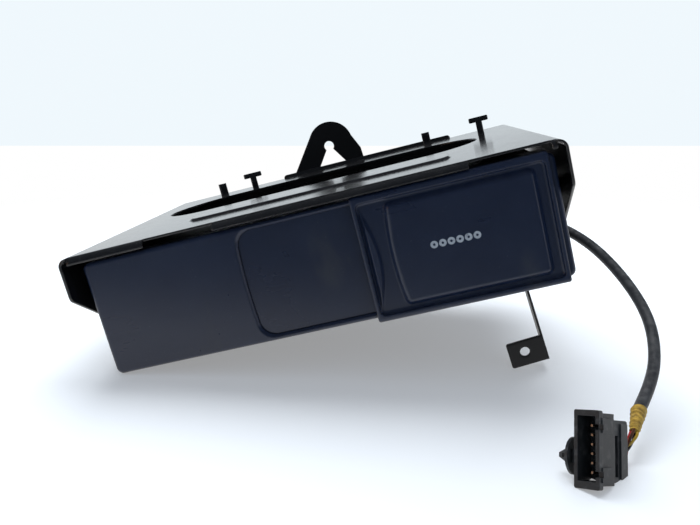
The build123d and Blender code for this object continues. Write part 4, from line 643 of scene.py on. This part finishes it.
def in_plug(across, back, up):
    """A point of the connector's own frame, in millimetres of the whole."""
    return PLUG_CORNER + PLUG_ACROSS * across + PLUG_BACK * back + PLUG_UP * up


print("connector looks along", tuple(round(-v, 2) for v in PLUG_BACK))

# %% Wires
WIRE_TONES = {"red": (0.45, 0.012, 0.012), "brown": (0.10, 0.03, 0.012),
              "black": (0.012, 0.012, 0.012), "yellow": (0.5, 0.32, 0.03)}
WIRE_RADIUS = 0.00065
WIRE_APART = 0.9            # from the bundle's middle, in the tape's mouth
LEAVING = 3.0               # straight on before the wires bend
LEAVING_SPREAD = (1.6, 1.7)
ENTRY_MIDDLE = (5.65, 12.0)     # across and up on the connector's back
ENTRY_SPREAD = (1.6, 2.6)
ENTRY_BEFORE = 25.7 + 4.5
ENTRY_DEPTH = 25.4


def wire_finish(name, tone):
    f = Finish(name)
    return f.set(Base_Color=f.blend(f.noise(300.0, 3.0), scaled(tone, 0.7), tone),
                 Roughness=0.4, Normal=f.relief(f.noise(1200.0, 2.0), 0.00003))


tape_side = ahead.orthogonal().normalized()
tape_top = ahead.cross(tape_side)
for k, (tone_name, tone) in enumerate(WIRE_TONES.items()):
    side = -WIRE_APART if k % 2 else WIRE_APART
    rise = -WIRE_APART if k < 2 else WIRE_APART
    start = Vector(TAPE_END) + tape_side * side + tape_top * rise
    bend = (Vector(TAPE_END) + ahead * LEAVING + tape_side * side * LEAVING_SPREAD[0]
            + tape_top * rise * LEAVING_SPREAD[1])
    across = ENTRY_MIDDLE[0] + side * ENTRY_SPREAD[0]
    up = ENTRY_MIDDLE[1] + rise * ENTRY_SPREAD[1]
    points = (start, bend, in_plug(across, ENTRY_BEFORE, up), in_plug(across, ENTRY_DEPTH, up))
    wire = smooth_line("wire_" + tone_name, points, WIRE_RADIUS)
    wire.data.materials.append(wire_finish("wire_skin_" + tone_name, tone))
    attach(wire, "chassis")
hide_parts("harness_wires")

# %% [markdown]

# %% [markdown]
# ## Floor and backdrop
# The photograph is bright: a white table and a pale blue wall far behind it.
# Behind the camera the room is dark. A satin black front shows mostly what it
# mirrors, so this order matters more than any colour: low down the front mirrors
# the table and looks grey, and high up it mirrors the dark room. The table slopes
# in this frame, because the changer stands tilted on its leg. Near the changer
# the table is really lit, so that it can carry a shadow, and farther off it gives
# way to plain white, as in an overexposed picture.

# %% Stage
FLOOR_POINT = Vector((-0.1325, 0.0, -0.0023))
FLOOR_AHEAD = (CAMERA_AHEAD - TABLE_UP * CAMERA_AHEAD.dot(TABLE_UP)).normalized()
FLOOR_RIGHT = FLOOR_AHEAD.cross(TABLE_UP).normalized()
FLOOR_FAR = 2.49            # from the camera's foot to the table's far edge
FLOOR_NEAR = -0.12
FLOOR_WIDE = 5.0
WALL_WIDE = 6.0
WALL_HIGH = 0.75
SHADE_RADIUS = (0.35, 0.80)     # between these, real light gives way to plain white
PLAIN_SHARE = 0.30              # plain white in the table near the changer
MIRRORED = (0.15, 0.33)         # between these, the mirrored table falls off to the dark room
MIRRORED_LOSS = 0.97
MIRROR_SHARE = 0.9
WALL_SEEN = (0.87, 0.94, 0.985)


def stage_finish(name, tone, seen, table=False):
    """Plain paint that the camera and mirrors see brighter than it lights."""
    f = Finish(name)
    f.set(Base_Color=tone, Roughness=0.8)
    path = f.tree.nodes.new("ShaderNodeLightPath")
    eye = Value(f, path.outputs["Is Camera Ray"]) + Value(f, path.outputs["Is Transmission Ray"])
    mirror = Value(f, path.outputs["Is Glossy Ray"])
    glow = f.tree.nodes.new("ShaderNodeEmission")
    glow.inputs["Color"].default_value = (*seen, 1.0)
    glow.inputs["Strength"].default_value = 1.0
    amount = eye + mirror
    if table:
        away = f.node("ShaderNodeVectorMath", {"operation": "LENGTH"}, {0: f.place}, "Value")
        nearer = f.step(0.0 - f.along(f.place, FLOOR_AHEAD), *MIRRORED)
        strength = 1.0 - mirror * nearer * MIRRORED_LOSS
        f.tree.links.new(strength.socket, glow.inputs["Strength"])
        plain = PLAIN_SHARE + (1.0 - PLAIN_SHARE) * f.step(away, *SHADE_RADIUS)
        amount = eye * plain + mirror * MIRROR_SHARE
    mix = f.tree.nodes.new("ShaderNodeMixShader")
    f.tree.links.new(amount.socket, mix.inputs[0])
    f.tree.links.new(f.shader.outputs[0], mix.inputs[1])
    f.tree.links.new(glow.outputs[0], mix.inputs[2])
    f.tree.links.new(mix.outputs[0], f.tree.nodes["Material Output"].inputs[0])
    return f.material


def panel(name, place, right, up, width, height, material):
    """A flat stage panel that faces right x up."""
    deselect_all()
    bpy.ops.mesh.primitive_plane_add(size=1.0)
    board = bpy.context.active_object
    board.name = name
    face = Matrix((right, up, right.cross(up))).transposed().to_4x4()
    size = Matrix.Diagonal((width, height, 1.0, 1.0))
    board.matrix_world = Matrix.Translation(place) @ face @ size
    settle(board)
    board.data.materials.append(material)
    return board


eye_on_floor = CAMERA_PLACE - TABLE_UP * (CAMERA_PLACE - FLOOR_POINT).dot(TABLE_UP)
table_white = stage_finish("table_white", (0.80, 0.86, 0.92), (1.0, 1.0, 1.0), True)
floor = panel("table_top", eye_on_floor + FLOOR_AHEAD * (FLOOR_FAR + FLOOR_NEAR) / 2,
              FLOOR_RIGHT, FLOOR_AHEAD, FLOOR_WIDE, FLOOR_FAR - FLOOR_NEAR, table_white)
wall = panel("far_wall", eye_on_floor + FLOOR_AHEAD * FLOOR_FAR + TABLE_UP * WALL_HIGH / 2,
             FLOOR_RIGHT, TABLE_UP, WALL_WIDE, WALL_HIGH,
             stage_finish("wall_pale", (0.85, 0.9, 0.94), WALL_SEEN))
print("stage", floor.name, wall.name)

# %% [markdown]
# ## Lamp and cards
# One broad lamp hangs above and behind the changer, so the shadow falls to the
# front. It stays out of the mirrors, because its image on the bracket's lips
# would be far too bright. Two cards stand beside the camera instead, a warm one
# on the left and a pale one on the right, and only mirrors see them.

# %% Lights
MIDDLE = Vector((0.0, 0.0, 0.03))
LAMP_SIZE = (1.3, 1.1)
LAMP_WATTS = 32.0
LAMP_ABOVE = 1.0
LAMP_BEHIND = 0.55
LAMP_LEFT = 0.08
CARD_SIZE = (0.55, 0.5)
CARD_ASIDE = 0.85
CARD_NEARER = 0.30
CARD_ABOVE = 0.12
CARDS = (("warm_card", -1.0, (1.5, 0.92, 0.58)), ("pale_card", 1.0, (1.0, 1.0, 1.08)))


def lamp(name, place, aim, size, watts):
    """A soft rectangular lamp that shines at a point."""
    light = bpy.data.lights.new(name, "AREA")
    light.shape = "RECTANGLE"
    light.size, light.size_y = size
    light.energy = watts
    holder = bpy.data.objects.new(name, light)
    looking = (place - aim).to_track_quat("Z", "Y").to_matrix().to_4x4()
    holder.matrix_world = Matrix.Translation(place) @ looking
    bpy.context.scene.collection.objects.link(holder)
    return holder


lamp_place = MIDDLE + TABLE_UP * LAMP_ABOVE + FLOOR_AHEAD * LAMP_BEHIND - FLOOR_RIGHT * LAMP_LEFT
softbox = lamp("rear_softbox", lamp_place, MIDDLE, LAMP_SIZE, LAMP_WATTS)
softbox.visible_glossy = False
for name, side, seen in CARDS:
    card_place = (MIDDLE + FLOOR_RIGHT * side * CARD_ASIDE - FLOOR_AHEAD * CARD_NEARER
                  + TABLE_UP * CARD_ABOVE)
    card = panel(name, card_place, FLOOR_AHEAD * -side, TABLE_UP, *CARD_SIZE,
                 stage_finish(name, (0.2, 0.2, 0.2), seen))
    card.visible_camera = False
    card.visible_diffuse = False
    card.visible_shadow = False
print("lamp", softbox.name, "and", len(CARDS), "cards")

# %% [markdown]
# ## The room around
# The world stands for the rest of the room. It is bluish and dim where it lights
# the shadows, darker still where satin surfaces mirror it, and as pale as the
# wall where the camera looks at it past the table.

# %% World
ROOM_LIGHT = (0.33, 0.38, 0.45)
ROOM_MIRRORED = (0.074, 0.085, 0.100)

world = bpy.data.worlds.new("dim_room")
world.use_nodes = True
bpy.context.scene.world = world
room = world.node_tree
path = room.nodes.new("ShaderNodeLightPath")
unseen = colour_mix(room, path.outputs["Is Glossy Ray"], ROOM_LIGHT, ROOM_MIRRORED)
colour = colour_mix(room, path.outputs["Is Camera Ray"], unseen, WALL_SEEN)
room.links.new(colour, room.nodes["Background"].inputs["Color"])
bpy.context.scene.view_settings.view_transform = "Standard"
print("world", world.name)
